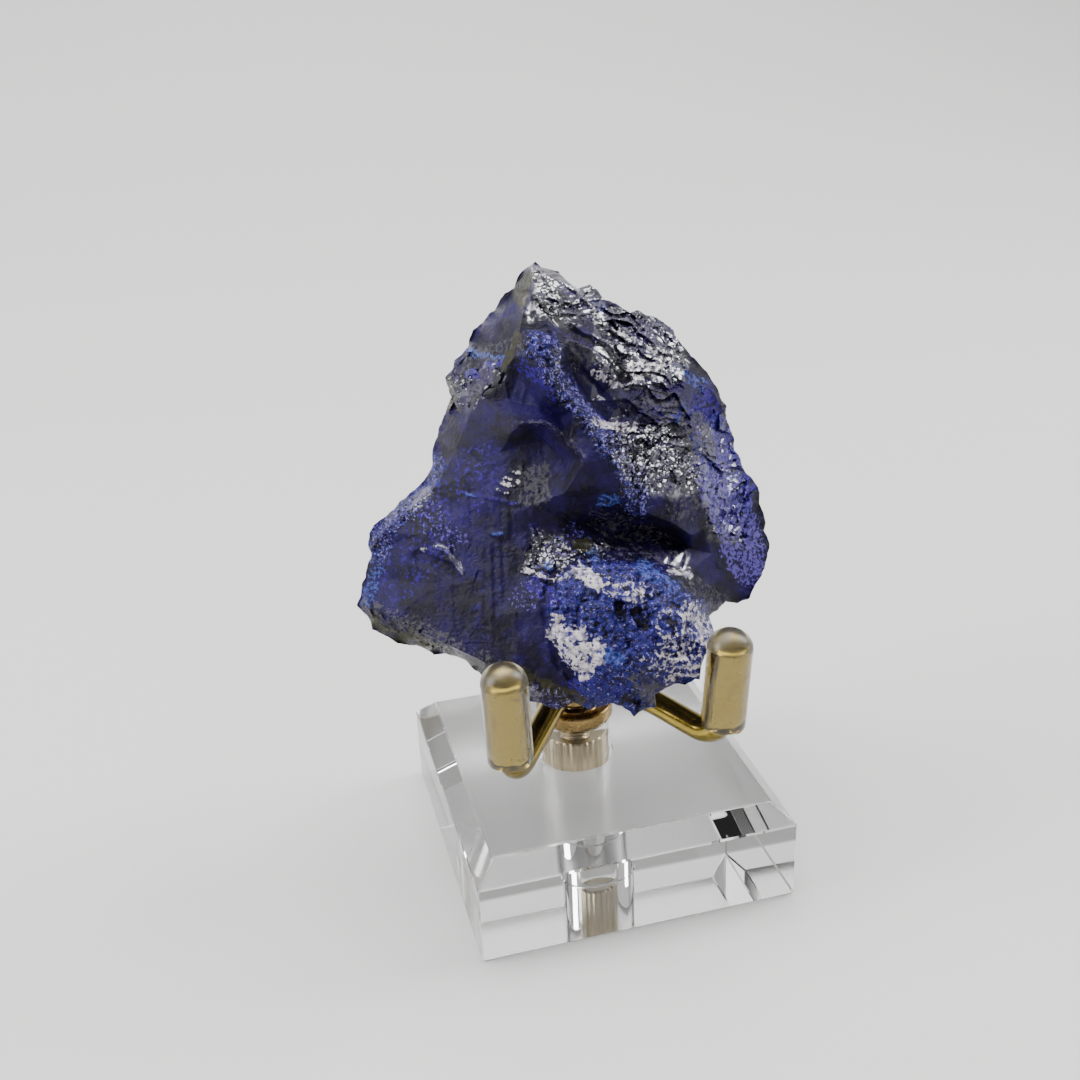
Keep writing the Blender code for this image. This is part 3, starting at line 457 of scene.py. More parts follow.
def lattice_points(fixed, outline, spacing, seed):
    """Scatter a jittered triangular lattice inside the outline, clear of the fixed points."""
    rng = np.random.default_rng(seed)
    row_height = spacing * math.sqrt(3.0) / 2.0
    low, high = fixed.min(axis=0), fixed.max(axis=0)
    rows = np.arange(int((high[1] - low[1]) / row_height) + 1)
    columns = np.arange(int((high[0] - low[0]) / spacing) + 2)
    row, column = np.meshgrid(rows, columns, indexing="ij")
    lattice = np.stack([low[0] + (column + 0.5 * (row % 2)) * spacing, low[1] + row * row_height], axis=-1)
    lattice = lattice.reshape(-1, 2) + rng.normal(0.0, LATTICE_JITTER * spacing, (row.size, 2))
    lattice = lattice[inside_outline(lattice, outline)]
    taken = {(int(x // spacing), int(y // spacing)) for x, y in fixed}
    clear = [(int(x // spacing), int(y // spacing)) not in taken for x, y in lattice]
    return lattice[np.array(clear)]


def rim_chords(faces, origin, count):
    """List the edges that cut straight across between two outline points that aren't neighbours."""
    chords = set()
    for face in faces:
        corners = [origin[i] for i in face]
        if min(corners) >= count:
            continue
        for start, end in zip(corners, corners[1:] + corners[:1]):
            step = abs(start - end)
            if max(start, end) < count and step not in (1, count - 1):
                chords.add((min(start, end), max(start, end)))
    return sorted(chords)


def sheet(outline, chains, spacing, seed):
    """Triangulate one side finely, keeping the outline and the chains as edges."""
    points = list(outline)
    edges = loop_edges(len(points))
    for chain in chains:
        first = len(points)
        places = walk(chain, spacing)
        points += places
        edges += [(first + i, first + i + 1) for i in range(len(places) - 1)]
    fixed = np.array(points)[:, :2]
    points += [np.array((x, y, 0.0)) for x, y in lattice_points(fixed, outline, spacing, seed)]
    origin, faces = triangulate(points, edges)
    chords = rim_chords(faces, origin, len(outline))
    while chords:
        points += [(points[start] + points[end]) / 2.0 for start, end in chords]
        origin, faces = triangulate(points, edges)
        chords = rim_chords(faces, origin, len(outline))
    return np.array(points), [[origin[i] for i in face] for face in faces]


def rim_distance(places, outline):
    """Measure how far flat places lie inside the outline."""
    rim = np.array(outline)[:, :2]
    best = np.full(len(places), FAR)
    for point in rim:
        best = np.minimum(best, np.hypot(places[:, 0] - point[0], places[:, 1] - point[1]))
    return best


# Relief on the show face. Each shape is a closed run of places in millimetres to the right and up, and each
# line is an open one. These are the ones that both the relief and the tints use.
TIP_BLOCK = [(-8.3, 58.0), (-4.0, 57.6), (0.3, 56.4), (1.5, 53.5), (0.3, 50.5), (-3.0, 49.3), (-7.8, 50.2)]
RIGHT_SHOULDER = [(0.3, 52.5), (5.0, 53.2), (12.0, 51.0), (13.5, 46.0), (12.0, 42.0), (4.0, 41.0),
    (0.0, 44.5)]
LEFT_SHOULDER = [(-20.5, 43.5), (-17.0, 48.5), (-12.5, 45.5), (-12.0, 42.5), (-17.0, 38.5), (-20.0, 39.0)]
KNOB = [(-9.3, 45.0), (-8.8, 48.0), (-6.0, 48.4), (-3.8, 46.0), (-4.6, 44.0), (-7.5, 43.3)]
GREY_STEP = [(-3.8, 47.8), (0.6, 45.4), (-0.5, 43.8), (-3.6, 45.0)]
SPINE = [(-6.0, 43.0), (-2.0, 38.5), (0.0, 36.0), (2.0, 33.0), (5.0, 29.0), (5.5, 25.5)]
GREY_PLATE = [(8.5, 27.3), (15.0, 27.5), (14.5, 24.0), (11.0, 22.5), (9.0, 24.0)]
HOLLOW_WALL = [(-10.3, 30.8), (-6.0, 31.0), (-5.8, 26.0), (-9.8, 25.3)]
HOLLOW_LIP = [(-10.8, 36.2), (-6.0, 36.2), (-1.5, 31.2)]
LEFT_RIM = [(-22.0, 31.0), (-23.0, 28.5), (-26.0, 25.0), (-28.5, 22.5), (-29.5, 19.5)]
LOWER_TIP = [(-9.0, 1.0), (-7.0, 0.2), (-4.5, -0.6)]
CRUST_LIP = [(-9.3, 17.0), (-6.0, 15.7), (-4.0, 16.0)]
SHOULDER_GULLY = [(-6.5, 51.5), (-3.5, 48.5), (0.0, 47.0), (2.0, 45.5), (4.2, 42.5)]
SPINE_GULLY = [(-4.3, 45.0), (-3.0, 43.5), (-1.0, 41.0), (1.0, 38.5), (4.0, 36.3)]
CRUST_SLOT = [(5.0, 11.5), (6.0, 10.0)]
CRUST_SLIT = [(3.0, 12.4), (3.2, 11.4)]
UPPER_LIP = [(4.6, 43.0), (6.5, 44.8), (9.0, 44.3)]
LOWER_LIP = [(5.3, 42.0), (7.0, 43.3), (9.0, 42.8)]
CURVED_CHIP = [(-21.0, 20.0), (-19.5, 19.5), (-18.3, 17.5), (-17.7, 16.5)]
# Broken ledges: shape, direction of their lines, pitch, depth, waver
LEDGE_FIELDS = [
    (TIP_BLOCK, 12.0, 1.0, 0.5, 0.15),
    (RIGHT_SHOULDER, -30.0, 1.2, 0.8, 0.35),
    ([(4.0, 41.0), (12.0, 42.0), (13.0, 36.0), (8.0, 35.5), (3.5, 38.0)], -32.0, 1.5, 0.6, 0.3),
    ([(11.5, 38.0), (15.5, 43.0), (20.0, 36.0), (23.0, 28.5), (22.0, 20.0), (15.5, 21.5), (13.3, 30.0)],
     50.0, 1.6, 0.7, 0.35),
    ([(2.0, 35.5), (9.0, 36.5), (13.5, 33.0), (14.5, 28.0), (11.0, 26.5), (5.5, 27.5), (2.5, 31.0)], 38.0,
     1.0, 0.75, 0.4),
    (LEFT_SHOULDER, 25.0, 1.1, 0.45, 0.5),
    ([(-8.5, 22.8), (-2.0, 20.5), (1.0, 18.8), (-3.0, 16.5), (-9.0, 17.5)], -50.0, 0.8, 0.35, 0.3),
    ([(-31.5, 12.5), (-22.5, 9.0), (-12.5, 4.3), (-12.0, 1.5), (-22.5, 6.3), (-31.0, 9.3)], -21.0, 0.8,
     0.25, 0.15),
    ([(-0.5, 21.0), (4.5, 20.3), (4.5, 17.3), (-0.5, 18.0)], 78.0, 0.7, 0.3, 0.2),
]
# Fine growth lines: shape, direction, pitch, depth
LINE_FIELDS = [
    (TIP_BLOCK, 12.0, 0.38, 0.12),
    (GREY_STEP, 70.0, 0.35, 0.08),
    (GREY_PLATE, 80.0, 0.45, 0.14),
    ([(4.5, 20.6), (12.5, 19.0), (12.8, 16.2), (6.0, 18.3)], 62.0, 0.34, 0.16),
    ([(-8.0, 25.5), (-4.0, 28.2), (-1.0, 27.0), (-3.0, 23.5)], 66.0, 0.42, 0.1),
    (HOLLOW_WALL, 88.0, 0.45, 0.12),
    ([(-31.0, 18.0), (-22.0, 28.0), (-11.0, 33.0), (-8.5, 22.0), (-10.0, 7.0), (-23.0, 9.5)], 92.0, 0.6,
     0.09),
    ([(-27.0, 22.0), (-16.0, 31.0), (-9.5, 30.0), (-8.0, 19.0), (-18.0, 17.0)], -20.0, 1.3, 0.1),
    ([(14.5, 42.5), (20.0, 36.0), (23.0, 28.0), (22.0, 19.0), (15.5, 21.5), (14.0, 31.0)], 62.0, 0.6, 0.1),
    ([(-14.5, 44.0), (-10.5, 44.8), (-4.2, 37.2), (-14.0, 36.8)], 75.0, 0.5, 0.06),
]
# Packed grains: shape or line, half width of a line or nought, grain size, depth
GRAIN_FIELDS = [
    (KNOB, 0.0, 1.2, 0.8),
    (SPINE, 1.4, 0.9, 0.55),
    (LEFT_RIM, 1.5, 0.8, 0.4),
    ([(-30.0, 16.5), (-31.0, 12.5)], 1.0, 0.8, 0.3),
    (LOWER_TIP, 1.1, 0.8, 0.5),
    ([(2.5, 34.5), (8.0, 34.0), (13.0, 30.5), (7.0, 29.5), (4.0, 32.0)], 0.0, 1.1, 0.6),
    ([(0.5, 26.0), (4.0, 25.0), (11.5, 21.5), (6.0, 20.0), (0.5, 22.0)], 0.0, 1.0, 0.5),
]
# Gullies and slots: line, half width, depth
GULLIES = [
    (SHOULDER_GULLY, 0.35, 1.0),
    (SPINE_GULLY, 0.9, 0.5),
    ([(-8.3, 52.5), (-8.2, 50.0)], 0.25, 0.6),
    ([(-1.0, 23.5), (2.5, 21.3), (6.0, 20.6), (12.0, 20.6)], 0.6, 0.25),
    (CRUST_SLOT, 0.5, 1.0),
    (CRUST_SLIT, 0.4, 0.9),
    ([(-5.6, 16.3), (-6.6, 12.0), (-5.4, 8.0), (-4.9, 5.0), (-3.0, 3.2)], 0.3, 0.5),
    ([(-23.5, 18.6), (-21.0, 17.6), (-18.6, 16.2)], 0.5, 0.5),
]
# Crystal ribs and lips that stand proud: line, half width, height
RIBS = [
    (CRUST_LIP, 0.35, 0.35),
    (HOLLOW_LIP, 0.3, 0.3),
    ([(-11.0, 30.0), (-10.0, 29.6)], 0.18, 0.2),
    ([(-12.7, 28.5), (-10.7, 28.0)], 0.16, 0.2),
    ([(-11.8, 29.0), (-10.0, 28.5)], 0.16, 0.2),
    ([(-13.0, 27.5), (-11.5, 27.0)], 0.16, 0.2),
    ([(-14.5, 26.5), (-10.0, 25.5)], 0.12, 0.15),
    ([(-17.0, 27.0), (-16.0, 26.7)], 0.16, 0.15),
    ([(-13.8, 21.8), (-12.5, 21.5)], 0.16, 0.15),
    (CURVED_CHIP, 0.2, 0.3),
    ([(-12.0, 42.0), (-10.8, 36.5)], 0.12, 0.12),
    (UPPER_LIP, 0.35, 0.4),
    (LOWER_LIP, 0.25, 0.3),
]
# The crust: its shape, then each worn lump as middle, radius and height
CRUST_SHAPE = [
    (-5.3, 16.0), (-2.0, 18.6), (3.0, 18.3), (8.0, 17.0), (10.5, 15.0), (15.5, 12.0), (16.5, 8.0),
    (14.5, 2.2), (8.0, 0.3), (7.0, -2.0), (-2.2, -1.5), (-2.6, 3.5), (-4.7, 5.0), (-5.2, 8.0), (-6.4, 12.0),
]
CRUST_LUMPS = [
    ((-0.6, 15.9), 1.5, 0.5), ((3.8, 14.5), 1.9, 0.6), ((-3.2, 7.2), 2.2, 0.7), ((1.8, 6.0), 1.6, 0.5),
    ((9.5, 10.0), 2.4, 0.6), ((13.6, 10.0), 1.8, 0.5), ((12.0, 4.8), 2.2, 0.5), ((6.5, 1.5), 1.6, 0.5),
    ((7.8, 12.7), 1.6, 0.4), ((-4.7, 15.3), 1.0, 0.4), ((0.6, 1.5), 2.0, 0.4), ((0.0, 11.0), 2.0, 0.5),
]
CRUST_RING = ((9.5, 10.0), 1.8)

# Tints: which, strength, shape or line, half width of a line or nought. Some are painted light: the silvery
# marks are painted glints and the darkening marks are painted shade; others are noted where they stand.
TINTS = [
    # Painted reflection: the olive on the tip's smooth facet stands for a yellow flower mirrored in it
    ('olive', 0.9, [(-10.2, 56.0), (-9.3, 57.4), (-8.2, 57.6), (-8.4, 54.8), (-9.0, 52.0), (-9.9, 50.6),
     (-11.2, 54.0)], 0.0),
    # Painted glint down the bright bevel column beside the tip
    ('silver', 1.0, [(-9.0, 53.0), (-8.6, 50.0)], 0.25),
    ('silver', 1.0, TIP_BLOCK, 0.0),
    ('cobalt', 0.8, [(-4.3, 55.2), (-2.8, 54.4)], 0.5),
    ('cobalt', 0.8, [(-0.2, 54.2), (1.0, 52.5)], 0.5),
    ('grey', 0.6, [(-16.0, 47.0), (-13.0, 46.9), (-10.0, 46.5)], 0.45),
    ('sky', 0.8, [(-17.0, 47.0), (-15.5, 46.0), (-12.0, 45.0)], 0.25),
    ('royal', 1.0, [(-14.6, 44.4), (-11.8, 44.2)], 0.35),
    ('royal', 1.0, [(-16.8, 43.6), (-16.0, 43.4)], 0.4),
    ('olive', 0.8, [(-10.2, 48.0), (-12.0, 44.0)], 0.35),
    ('olive', 0.7, [(-20.0, 42.5), (-19.2, 39.5)], 0.6),
    ('silver', 0.45, LEFT_SHOULDER, 0.0),
    ('royal', 0.7, [(-9.6, 43.6), (-7.4, 42.2), (-5.6, 39.8)], 0.5),
    ('cobalt', 0.7, KNOB, 0.0),
    ('grains', 0.7, KNOB, 0.0),
    ('grey', 0.9, GREY_STEP, 0.0),
    ('cobalt', 0.5, SPINE, 1.3),
    ('grains', 0.9, SPINE, 1.2),
    # Painted shade in the gully below the shoulder
    ('dark', 1.0, SHOULDER_GULLY, 0.4),
    ('silver', 0.35, SPINE_GULLY, 1.0),
    ('silver', 0.9, RIGHT_SHOULDER, 0.0),
    ('cobalt', 0.5, [(5.0, 52.3), (10.0, 49.5)], 0.6),
    ('sky', 0.5, [(11.5, 44.3), (14.8, 42.3)], 0.7),
    # The white on these lips and ledges of the upper right is painted glints
    ('white', 0.9, UPPER_LIP, 0.35),
    ('white', 0.8, LOWER_LIP, 0.25),
    ('white', 0.7, [(3.0, 49.0), (8.0, 47.0), (10.0, 45.3)], 0.2),
    ('white', 0.8, [(0.2, 43.0), (2.8, 41.4)], 0.4),
    ('white', 0.9, [(0.2, 36.2), (4.8, 35.6)], 0.35),
    ('grey', 0.7, [(10.0, 47.0), (12.0, 45.5)], 1.0),
    ('grey', 0.8, [(8.0, 40.0), (11.0, 38.0)], 1.2),
    ('grey', 0.8, [(10.0, 36.0), (12.8, 33.3)], 1.1),
    ('cobalt', 0.9, [(10.5, 37.2), (12.0, 38.4)], 0.5),
    ('cobalt', 0.9, [(13.6, 33.8), (15.8, 31.2)], 0.8),
    ('silver', 0.85, [(2.5, 35.5), (9.0, 36.0), (14.0, 32.0), (14.5, 28.0), (11.0, 26.5), (5.5, 27.5),
     (2.5, 31.5)], 0.0),
    ('grey', 0.7, [(14.0, 36.5), (15.5, 33.0)], 1.3),
    ('silver', 0.45, [(14.0, 36.0), (18.5, 36.5), (21.0, 28.0), (20.5, 20.0), (15.5, 21.0), (14.5, 29.0)],
     0.0),
    ('violet', 1.0, [(16.5, 30.0), (19.5, 24.0), (21.5, 18.0)], 3.0),
    ('violet', 0.6, [(15.5, 36.0), (18.0, 32.0)], 1.6),
    ('violet', 0.5, [(-22.0, 24.0), (-19.0, 21.0)], 1.6),
    ('violet', 0.45, [(-9.0, 14.0), (-3.0, 21.0)], 1.8),
    ('royal', 0.36, [(-26.0, 16.0), (-19.0, 25.0), (-15.0, 31.0)], 3.0),
    ('royal', 0.8, [(12.5, 38.0), (16.0, 43.0), (20.0, 36.0), (23.0, 28.0), (22.0, 20.0), (15.5, 23.0),
     (14.5, 30.0)], 0.0),
    ('cobalt', 0.5, [(16.5, 37.0), (19.5, 31.0), (21.0, 25.0)], 1.2),
    ('grey', 0.5, GREY_PLATE, 0.0),
    # Painted light: this grey lightens the dark hollow under the overhang, in place of the light that reaches
    # into its shade
    ('grey', 0.5, [(-1.0, 25.0), (3.0, 24.2), (9.0, 22.6), (12.0, 20.6), (5.0, 19.9), (-1.0, 22.8)], 0.0),
    ('sky', 0.6, [(1.0, 26.0), (2.8, 25.9)], 0.4),
    ('silver', 1.0, [(4.5, 20.4), (12.5, 19.0), (12.8, 16.2), (6.0, 18.3)], 0.0),
    ('white', 0.8, [(10.0, 16.9), (12.5, 16.3)], 0.35),
    ('silver', 0.6, [(-8.5, 22.5), (-2.0, 20.3), (1.0, 18.8), (-3.0, 16.8), (-9.0, 17.8)], 0.0),
    ('silver', 0.8, [(0.0, 20.0), (4.0, 19.0)], 0.9),
    ('olive', 1.0, [(-1.7, 20.0), (-1.5, 20.0)], 0.6),
    ('sky', 0.8, [(-6.1, 17.5), (-5.9, 17.5)], 0.4),
    ('sky', 0.8, [(-0.4, 19.2), (-0.2, 19.2)], 0.4),
    ('white', 0.7, CRUST_LIP, 0.3),
    ('royal', 0.7, [(-8.0, 15.0), (-4.5, 13.3)], 0.8),
    ('grey', 0.8, HOLLOW_WALL, 0.0),
    ('grey', 0.4, HOLLOW_LIP, 0.3),
    # The white and sky-blue strokes on the small crescent steps are painted glints
    ('white', 0.7, [(-11.0, 30.0), (-10.0, 29.6)], 0.16),
    ('white', 0.8, [(-12.7, 28.5), (-10.7, 28.0)], 0.14),
    ('white', 0.7, [(-11.8, 29.0), (-10.0, 28.5)], 0.14),
    ('white', 0.8, [(-13.0, 27.5), (-11.5, 27.0)], 0.14),
    ('royal', 0.6, [(-14.5, 26.5), (-10.0, 25.5)], 0.1),
    ('sky', 0.8, [(-17.0, 27.0), (-16.0, 26.7)], 0.14),
    ('sky', 0.8, [(-13.8, 21.8), (-12.5, 21.5)], 0.14),
    ('white', 0.6, [(-23.1, 19.5), (-22.8, 19.5)], 0.2),
    # Painted shade in the gully beside the curved chip
    ('dark', 0.9, [(-23.5, 19.0), (-21.0, 18.4), (-18.2, 16.2), (-20.5, 16.8)], 0.0),
    ('silver', 0.6, CURVED_CHIP, 0.15),
    ('grains', 0.8, LEFT_RIM, 1.4),
    ('cobalt', 0.6, LEFT_RIM, 1.6),
    ('silver', 0.6, [(-22.8, 27.2), (-24.4, 25.6)], 0.5),
    ('sky', 0.55, [(-29.5, 16.5), (-31.0, 12.5)], 0.7),
    # Painted reflection: the grey along the downward-facing lower bevel stands for the pale floor mirrored in
    # it
    ('grey', 0.55, [(-31.0, 12.0), (-24.0, 9.8), (-13.0, 4.4)], 0.7),
    ('olive', 0.7, [(-30.0, 9.5), (-22.5, 6.8), (-12.5, 1.8)], 0.8),
    ('olive', 0.8, [(-11.0, 3.6), (-2.5, 0.0)], 0.8),
    ('grains', 0.9, LOWER_TIP, 1.0),
    ('cobalt', 0.8, CRUST_SHAPE, 0.0),
    ('grains', 0.45, CRUST_SHAPE, 0.0),
    ('white', 1.0, [(-1.5, 16.5), (0.3, 15.3)], 0.6),
    ('white', 0.65, [(2.0, 14.8), (5.5, 14.1)], 0.8),
    ('white', 1.0, [(-5.3, 9.8), (-3.6, 7.2), (-1.6, 4.2)], 0.9),
    ('sky', 1.0, [(0.6, 6.5), (3.0, 5.6)], 0.6),
    ('white', 0.8, [(12.2, 11.8), (15.2, 8.3)], 0.9),
    ('white', 0.7, [(9.0, 6.0), (12.0, 4.6), (14.5, 3.5)], 0.9),
    ('white', 1.0, [(-4.6, 9.8), (-1.0, 9.6), (1.2, 7.6), (0.4, 4.6), (-2.4, 4.4), (-4.4, 7.0)], 0.0),
    ('white', 0.5, [(5.5, 5.5), (8.6, 9.2), (14.3, 10.8), (14.2, 4.2), (9.0, 1.4)], 0.0),
    ('grey', 0.9, [(5.0, 3.0), (8.0, 0.3)], 0.9),
    ('sky', 0.7, [(6.0, 17.3), (10.0, 15.0)], 0.6),
    # Painted shade in the crust's slot and slit
    ('dark', 1.0, CRUST_SLOT, 0.5),
    ('dark', 1.0, CRUST_SLIT, 0.4),
    ('royal', 0.8, [(-2.0, 2.6), (2.6, 0.3)], 1.3),
    # Painted shade along the crust's lower rim
    ('dark', 0.8, [(3.8, 0.3), (6.2, -1.2)], 0.7),
    ('grey', 0.5, [(12.5, 15.0), (17.5, 12.3)], 1.0),
]
TINT_NAMES = ("white", "silver", "grey", "grains", "cobalt", "royal", "violet", "sky", "olive", "dark")
# How each tint lies on the stone: its mask, its colour, speck scale, cover and how far it keeps to crests.
# Kept to the crests, the silvery specks and the pale grain specks are painted glints; the darkening layer,
# kept to the clefts, is painted shade.
TINT_LAYERS = [
    ("royal", "royal", 1600.0, 0.7, 0.3), ("violet", "violet", 2100.0, 0.55, 0.7),
    ("cobalt", "cobalt", 1500.0, 0.75, 0.4), ("sky", "sky", 1800.0, 0.8, 0.3),
    ("grey", "grey", 1600.0, 0.75, 0.2), ("silver", "silver", 1500.0, 0.42, 0.7),
    ("olive", "olive", 700.0, 1.0, 0.0), ("grains", "pale", 3200.0, 0.30, 0.8),
    ("white", "white", 1400.0, 0.72, 0.9), ("dark", "deep", 1200.0, 0.75, -0.3),
]
# The fine relief never stands out or sinks in further than this
RELIEF_LIMIT = 0.9
PROUD_CELL = 0.9
PROUD_SPAN = 0.9
# Ledge layers: pitch as a share of the field's, share of its height, turn in degrees and first seed
LEDGE_LAYERS = ((1.5, 1.0, 0.0, 10), (0.55, 0.3, 24.0, 200))
# Facet layers: size as a share of the pitch, step as a share of the height, lean and first seed
FACET_LAYERS = ((2.2, 1.1, 0.5, 30), (0.8, 0.5, 0.6, 220))
# The size and height of the crust's grains, and their seeds
CRUST_GRAINS = ((1.3, 0.6, 140), (0.6, 0.4, 141))
RING_WIDTH = 0.6
RING_HEIGHT = 0.5
RING_TINT = 0.6
RING_TINT_WIDTH = 0.8
GRAIN_LEVEL = 0.45
# The tints that are scattered over the back, and their strength
BACK_TINTS = ("silver", "grains", "cobalt", "royal", "violet", "grey")
BACK_TINT_STRENGTH = 0.8


def field(places, shape, half_width, soft, waver, seed):
    """Fade from one on a shape or a line to nought beside it."""
    if half_width:
        return near_line(places, shape, half_width, soft, waver, seed)
    return within(places, shape, soft, waver, seed)


def show_relief(places):
    """Give the fine relief of the show face at flat places. Each noise ends with its seed."""
    x, y = places[:, 0], places[:, 1]
    depth = 0.12 * rough(x, y, 3.0, 1)
    broken = np.zeros(len(places))
    for i, (shape, degrees, pitch, height, waver) in enumerate(LEDGE_FIELDS):
        share = within(places, shape, 1.2, 0.5, i)
        broken = np.maximum(broken, share)
        group = share * np.clip(0.75 + 0.9 * rough(x, y, pitch * 3.5, 240 + i), 0.15, 1.3)
        for scale, part, turn, seed in LEDGE_LAYERS:
            depth += group * part * height * ledges(x, y, degrees + turn, pitch * scale, waver, seed + i)
        for scale, part, lean, seed in FACET_LAYERS:
            depth += share * facets(x, y, pitch * scale, height * part, lean, seed + i)
    for i, (shape, degrees, pitch, height) in enumerate(LINE_FIELDS):
        along, across = turned(x, y, degrees)
        lines = ripple(along / (pitch * 14.0), across / pitch, 50 + i)
        depth += within(places, shape, 0.8, 0.3, 40 + i) * height * lines
    for i, (shape, half_width, size, height) in enumerate(GRAIN_FIELDS):
        share = field(places, shape, half_width, 0.8, 0.5, 60 + i)
        broken = np.maximum(broken, share)
        depth += share * height * (granules(x, y, size, 70 + i) - GRAIN_LEVEL)
        depth += share * 0.6 * height * (granules(x, y, size * 0.45, 80 + i) - GRAIN_LEVEL)
    for i, (line, half_width, drop) in enumerate(GULLIES):
        depth -= drop * near_line(places, line, half_width, 0.6, 0.25, 90 + i)
    for i, (line, half_width, height) in enumerate(RIBS):
        depth += height * near_line(places, line, half_width, 0.25, 0.08, 110 + i)
    crust = within(places, CRUST_SHAPE, 1.0, 0.6, 130)
    lumps = 0.6 * rough(x, y, 3.2, 131, 4)
    for (across, up), radius, height in CRUST_LUMPS:
        lumps += height * np.clip(1.0 - np.hypot(x - across, y - up) / radius, 0.0, 1.0) ** 0.7
    (across, up), radius = CRUST_RING
    ring = np.abs(np.hypot(x - across, y - up) - radius)
    lumps += RING_HEIGHT * np.clip(1.0 - ring / RING_WIDTH, 0.0, 1.0)
    (coarse, tall, seed), (small, low, other) = CRUST_GRAINS
    lumps += tall * granules(x, y, coarse, seed) + low * granules(x, y, small, other)
    depth += crust * lumps
    calm = np.clip(1.0 - np.maximum(broken, crust), 0.0, 1.0)
    patches = 0.12 + 0.5 * np.clip(rough(x, y, 9.0, 151), 0.0, 1.0)
    depth += patches * calm * facets(x, y, 3.4, 0.4, 0.16, 150)
    return RELIEF_LIMIT * np.tanh(depth / RELIEF_LIMIT)


def proudness(places, relief):
    """Tell how far each place stands above its surroundings, from nought in a cleft to one on a crest."""
    cell = np.floor(places / PROUD_CELL).astype(int)
    cell -= cell.min(axis=0)
    width = cell[:, 0].max() + 1
    key = cell[:, 1] * width + cell[:, 0]
    total = np.bincount(key, relief, minlength=int(key.max()) + 1)
    count = np.bincount(key, minlength=int(key.max()) + 1)
    level = total[key] / count[key]
    return np.clip(0.5 + (relief - level) / PROUD_SPAN, 0.0, 1.0)


def show_tints(places):
    """Give each tint's strength on the show face at flat places."""
    tints = {name: np.zeros(len(places)) for name in TINT_NAMES}
    for i, (name, strength, shape, half_width) in enumerate(TINTS):
        soft = min(0.9, 0.15 + half_width) if half_width else 1.0
        share = strength * field(places, shape, half_width, soft, 0.15 + 0.35 * soft, 300 + i)
        tints[name] = np.maximum(tints[name], share)
    (across, up), radius = CRUST_RING
    distance = np.hypot(places[:, 0] - across, places[:, 1] - up)
    ring = np.clip(1.0 - np.abs(distance - radius) / RING_TINT_WIDTH, 0.0, 1.0)
    tints["white"] = np.maximum(tints["white"], RING_TINT * ring)
    # Painted shade in the hollow inside the crust's ring
    tints["dark"] = np.maximum(tints["dark"], np.clip(1.6 - distance / RING_TINT_WIDTH, 0.0, 1.0))
    return tints


def back_relief(places):
    """Break the back into large leaning facets with finer steps on them."""
    x, y = places[:, 0], places[:, 1]
    depth = facets(x, y, 9.0, 1.8, 0.25, 160) + 0.6 * rough(x, y, 3.3, 161)
    return depth + 0.25 * facets(x, y, 2.6, 1.0, 0.4, 162) + 0.5 * ledges(x, y, 35.0, 2.2, 0.6, 163)


def back_tints(places):
    """Scatter the show face's tints over the hidden back and underside."""
    x, y = places[:, 0], places[:, 1]
    tints = {name: np.zeros(len(places)) for name in TINT_NAMES}
    for i, name in enumerate(BACK_TINTS):
        tints[name] = BACK_TINT_STRENGTH * np.clip(rough(x, y, 7.0, 170 + i, 4) * 2.2 - 0.35, 0.0, 1.0)
    return tints


def side_depths(places, outline, own_net, other_net, relief, out):
    """Work out one side's depths: its net, its relief and a least thickness from the other side."""
    inset = rim_distance(places, outline)
    own = net_depth(own_net, places)
    other = net_depth(other_net, places)
    fine = relief(places[:, :2])
    own += fine * np.clip(0.25 + inset / 1.2, 0.0, 1.0)
    wanted = LEAST_FLARE * np.minimum(inset, LEAST_THICKNESS)
    own += out * np.maximum(wanted - out * (own - other), 0.0) / 2.0
    own[:len(outline)] = [place[2] for place in outline]
    return own, proudness(places[:, :2], out * fine)


def arm_corners(side):
    """List the centre line's corners for one arm, then the upward direction of its prong."""
    shoulder, elbow, lean, _ = ARMS[side]
    shoulder, elbow = Vector(shoulder), Vector(elbow)
    outward = Vector((shoulder.x - AXIS.x, shoulder.y - AXIS.y, 0.0)).normalized()
    start = AXIS + outward * (SOCKET_RADIUS + GAP)
    start.z = ARM_LEVEL
    away = Vector((elbow.x - AXIS.x, elbow.y - AXIS.y, 0.0)).normalized()
    tilt = math.radians(lean)
    upward = Vector((away.x * math.sin(tilt), away.y * math.sin(tilt), math.cos(tilt)))
    return start, shoulder, elbow, upward


def push_clear(places, start, end, radius):
    """Move places straight out of a round-ended bar."""
    start, along = np.array(start), np.array(end) - np.array(start)
    share = np.clip((places - start) @ along / (along @ along), 0.0, 1.0)
    nearest = start + share[:, None] * along
    offset = places - nearest
    length = np.linalg.norm(offset, axis=1)
    close = length < radius
    places[close] = nearest[close] + offset[close] / length[close, None] * radius
    return places


def settled(places, depths):
    """Stand face places up in the frame, off the arms, the sleeves and the hub, inside the solid's box."""
    right, upward, outward = (np.array(axis) for axis in face_axes())
    flat = places[:, :1] * right + places[:, 1:2] * upward + depths[:, None] * outward
    stood = np.array(FACE_ORIGIN) + flat * MM
    stood[:, 2] = np.maximum(stood[:, 2], REST_HEIGHT)
    for side in ARMS:
        _, shoulder, elbow, upward = arm_corners(side)
        tip = elbow + upward * (ARMS[side][3] + SLEEVE_LENGTH - SLEEVE_RADIUS)
        stood = push_clear(stood, elbow, tip, SLEEVE_RADIUS + REST_GAP)
        stood = push_clear(stood, shoulder, elbow, ARM_RADIUS + REST_GAP)
    low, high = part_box("azurite")
    return np.clip(stood, np.array(low), np.array(high))


def deselect():
    """Leave edit mode and let go of everything."""
    if bpy.context.mode != "OBJECT":
        bpy.ops.object.mode_set(mode="OBJECT")
    bpy.ops.object.select_all(action="DESELECT")


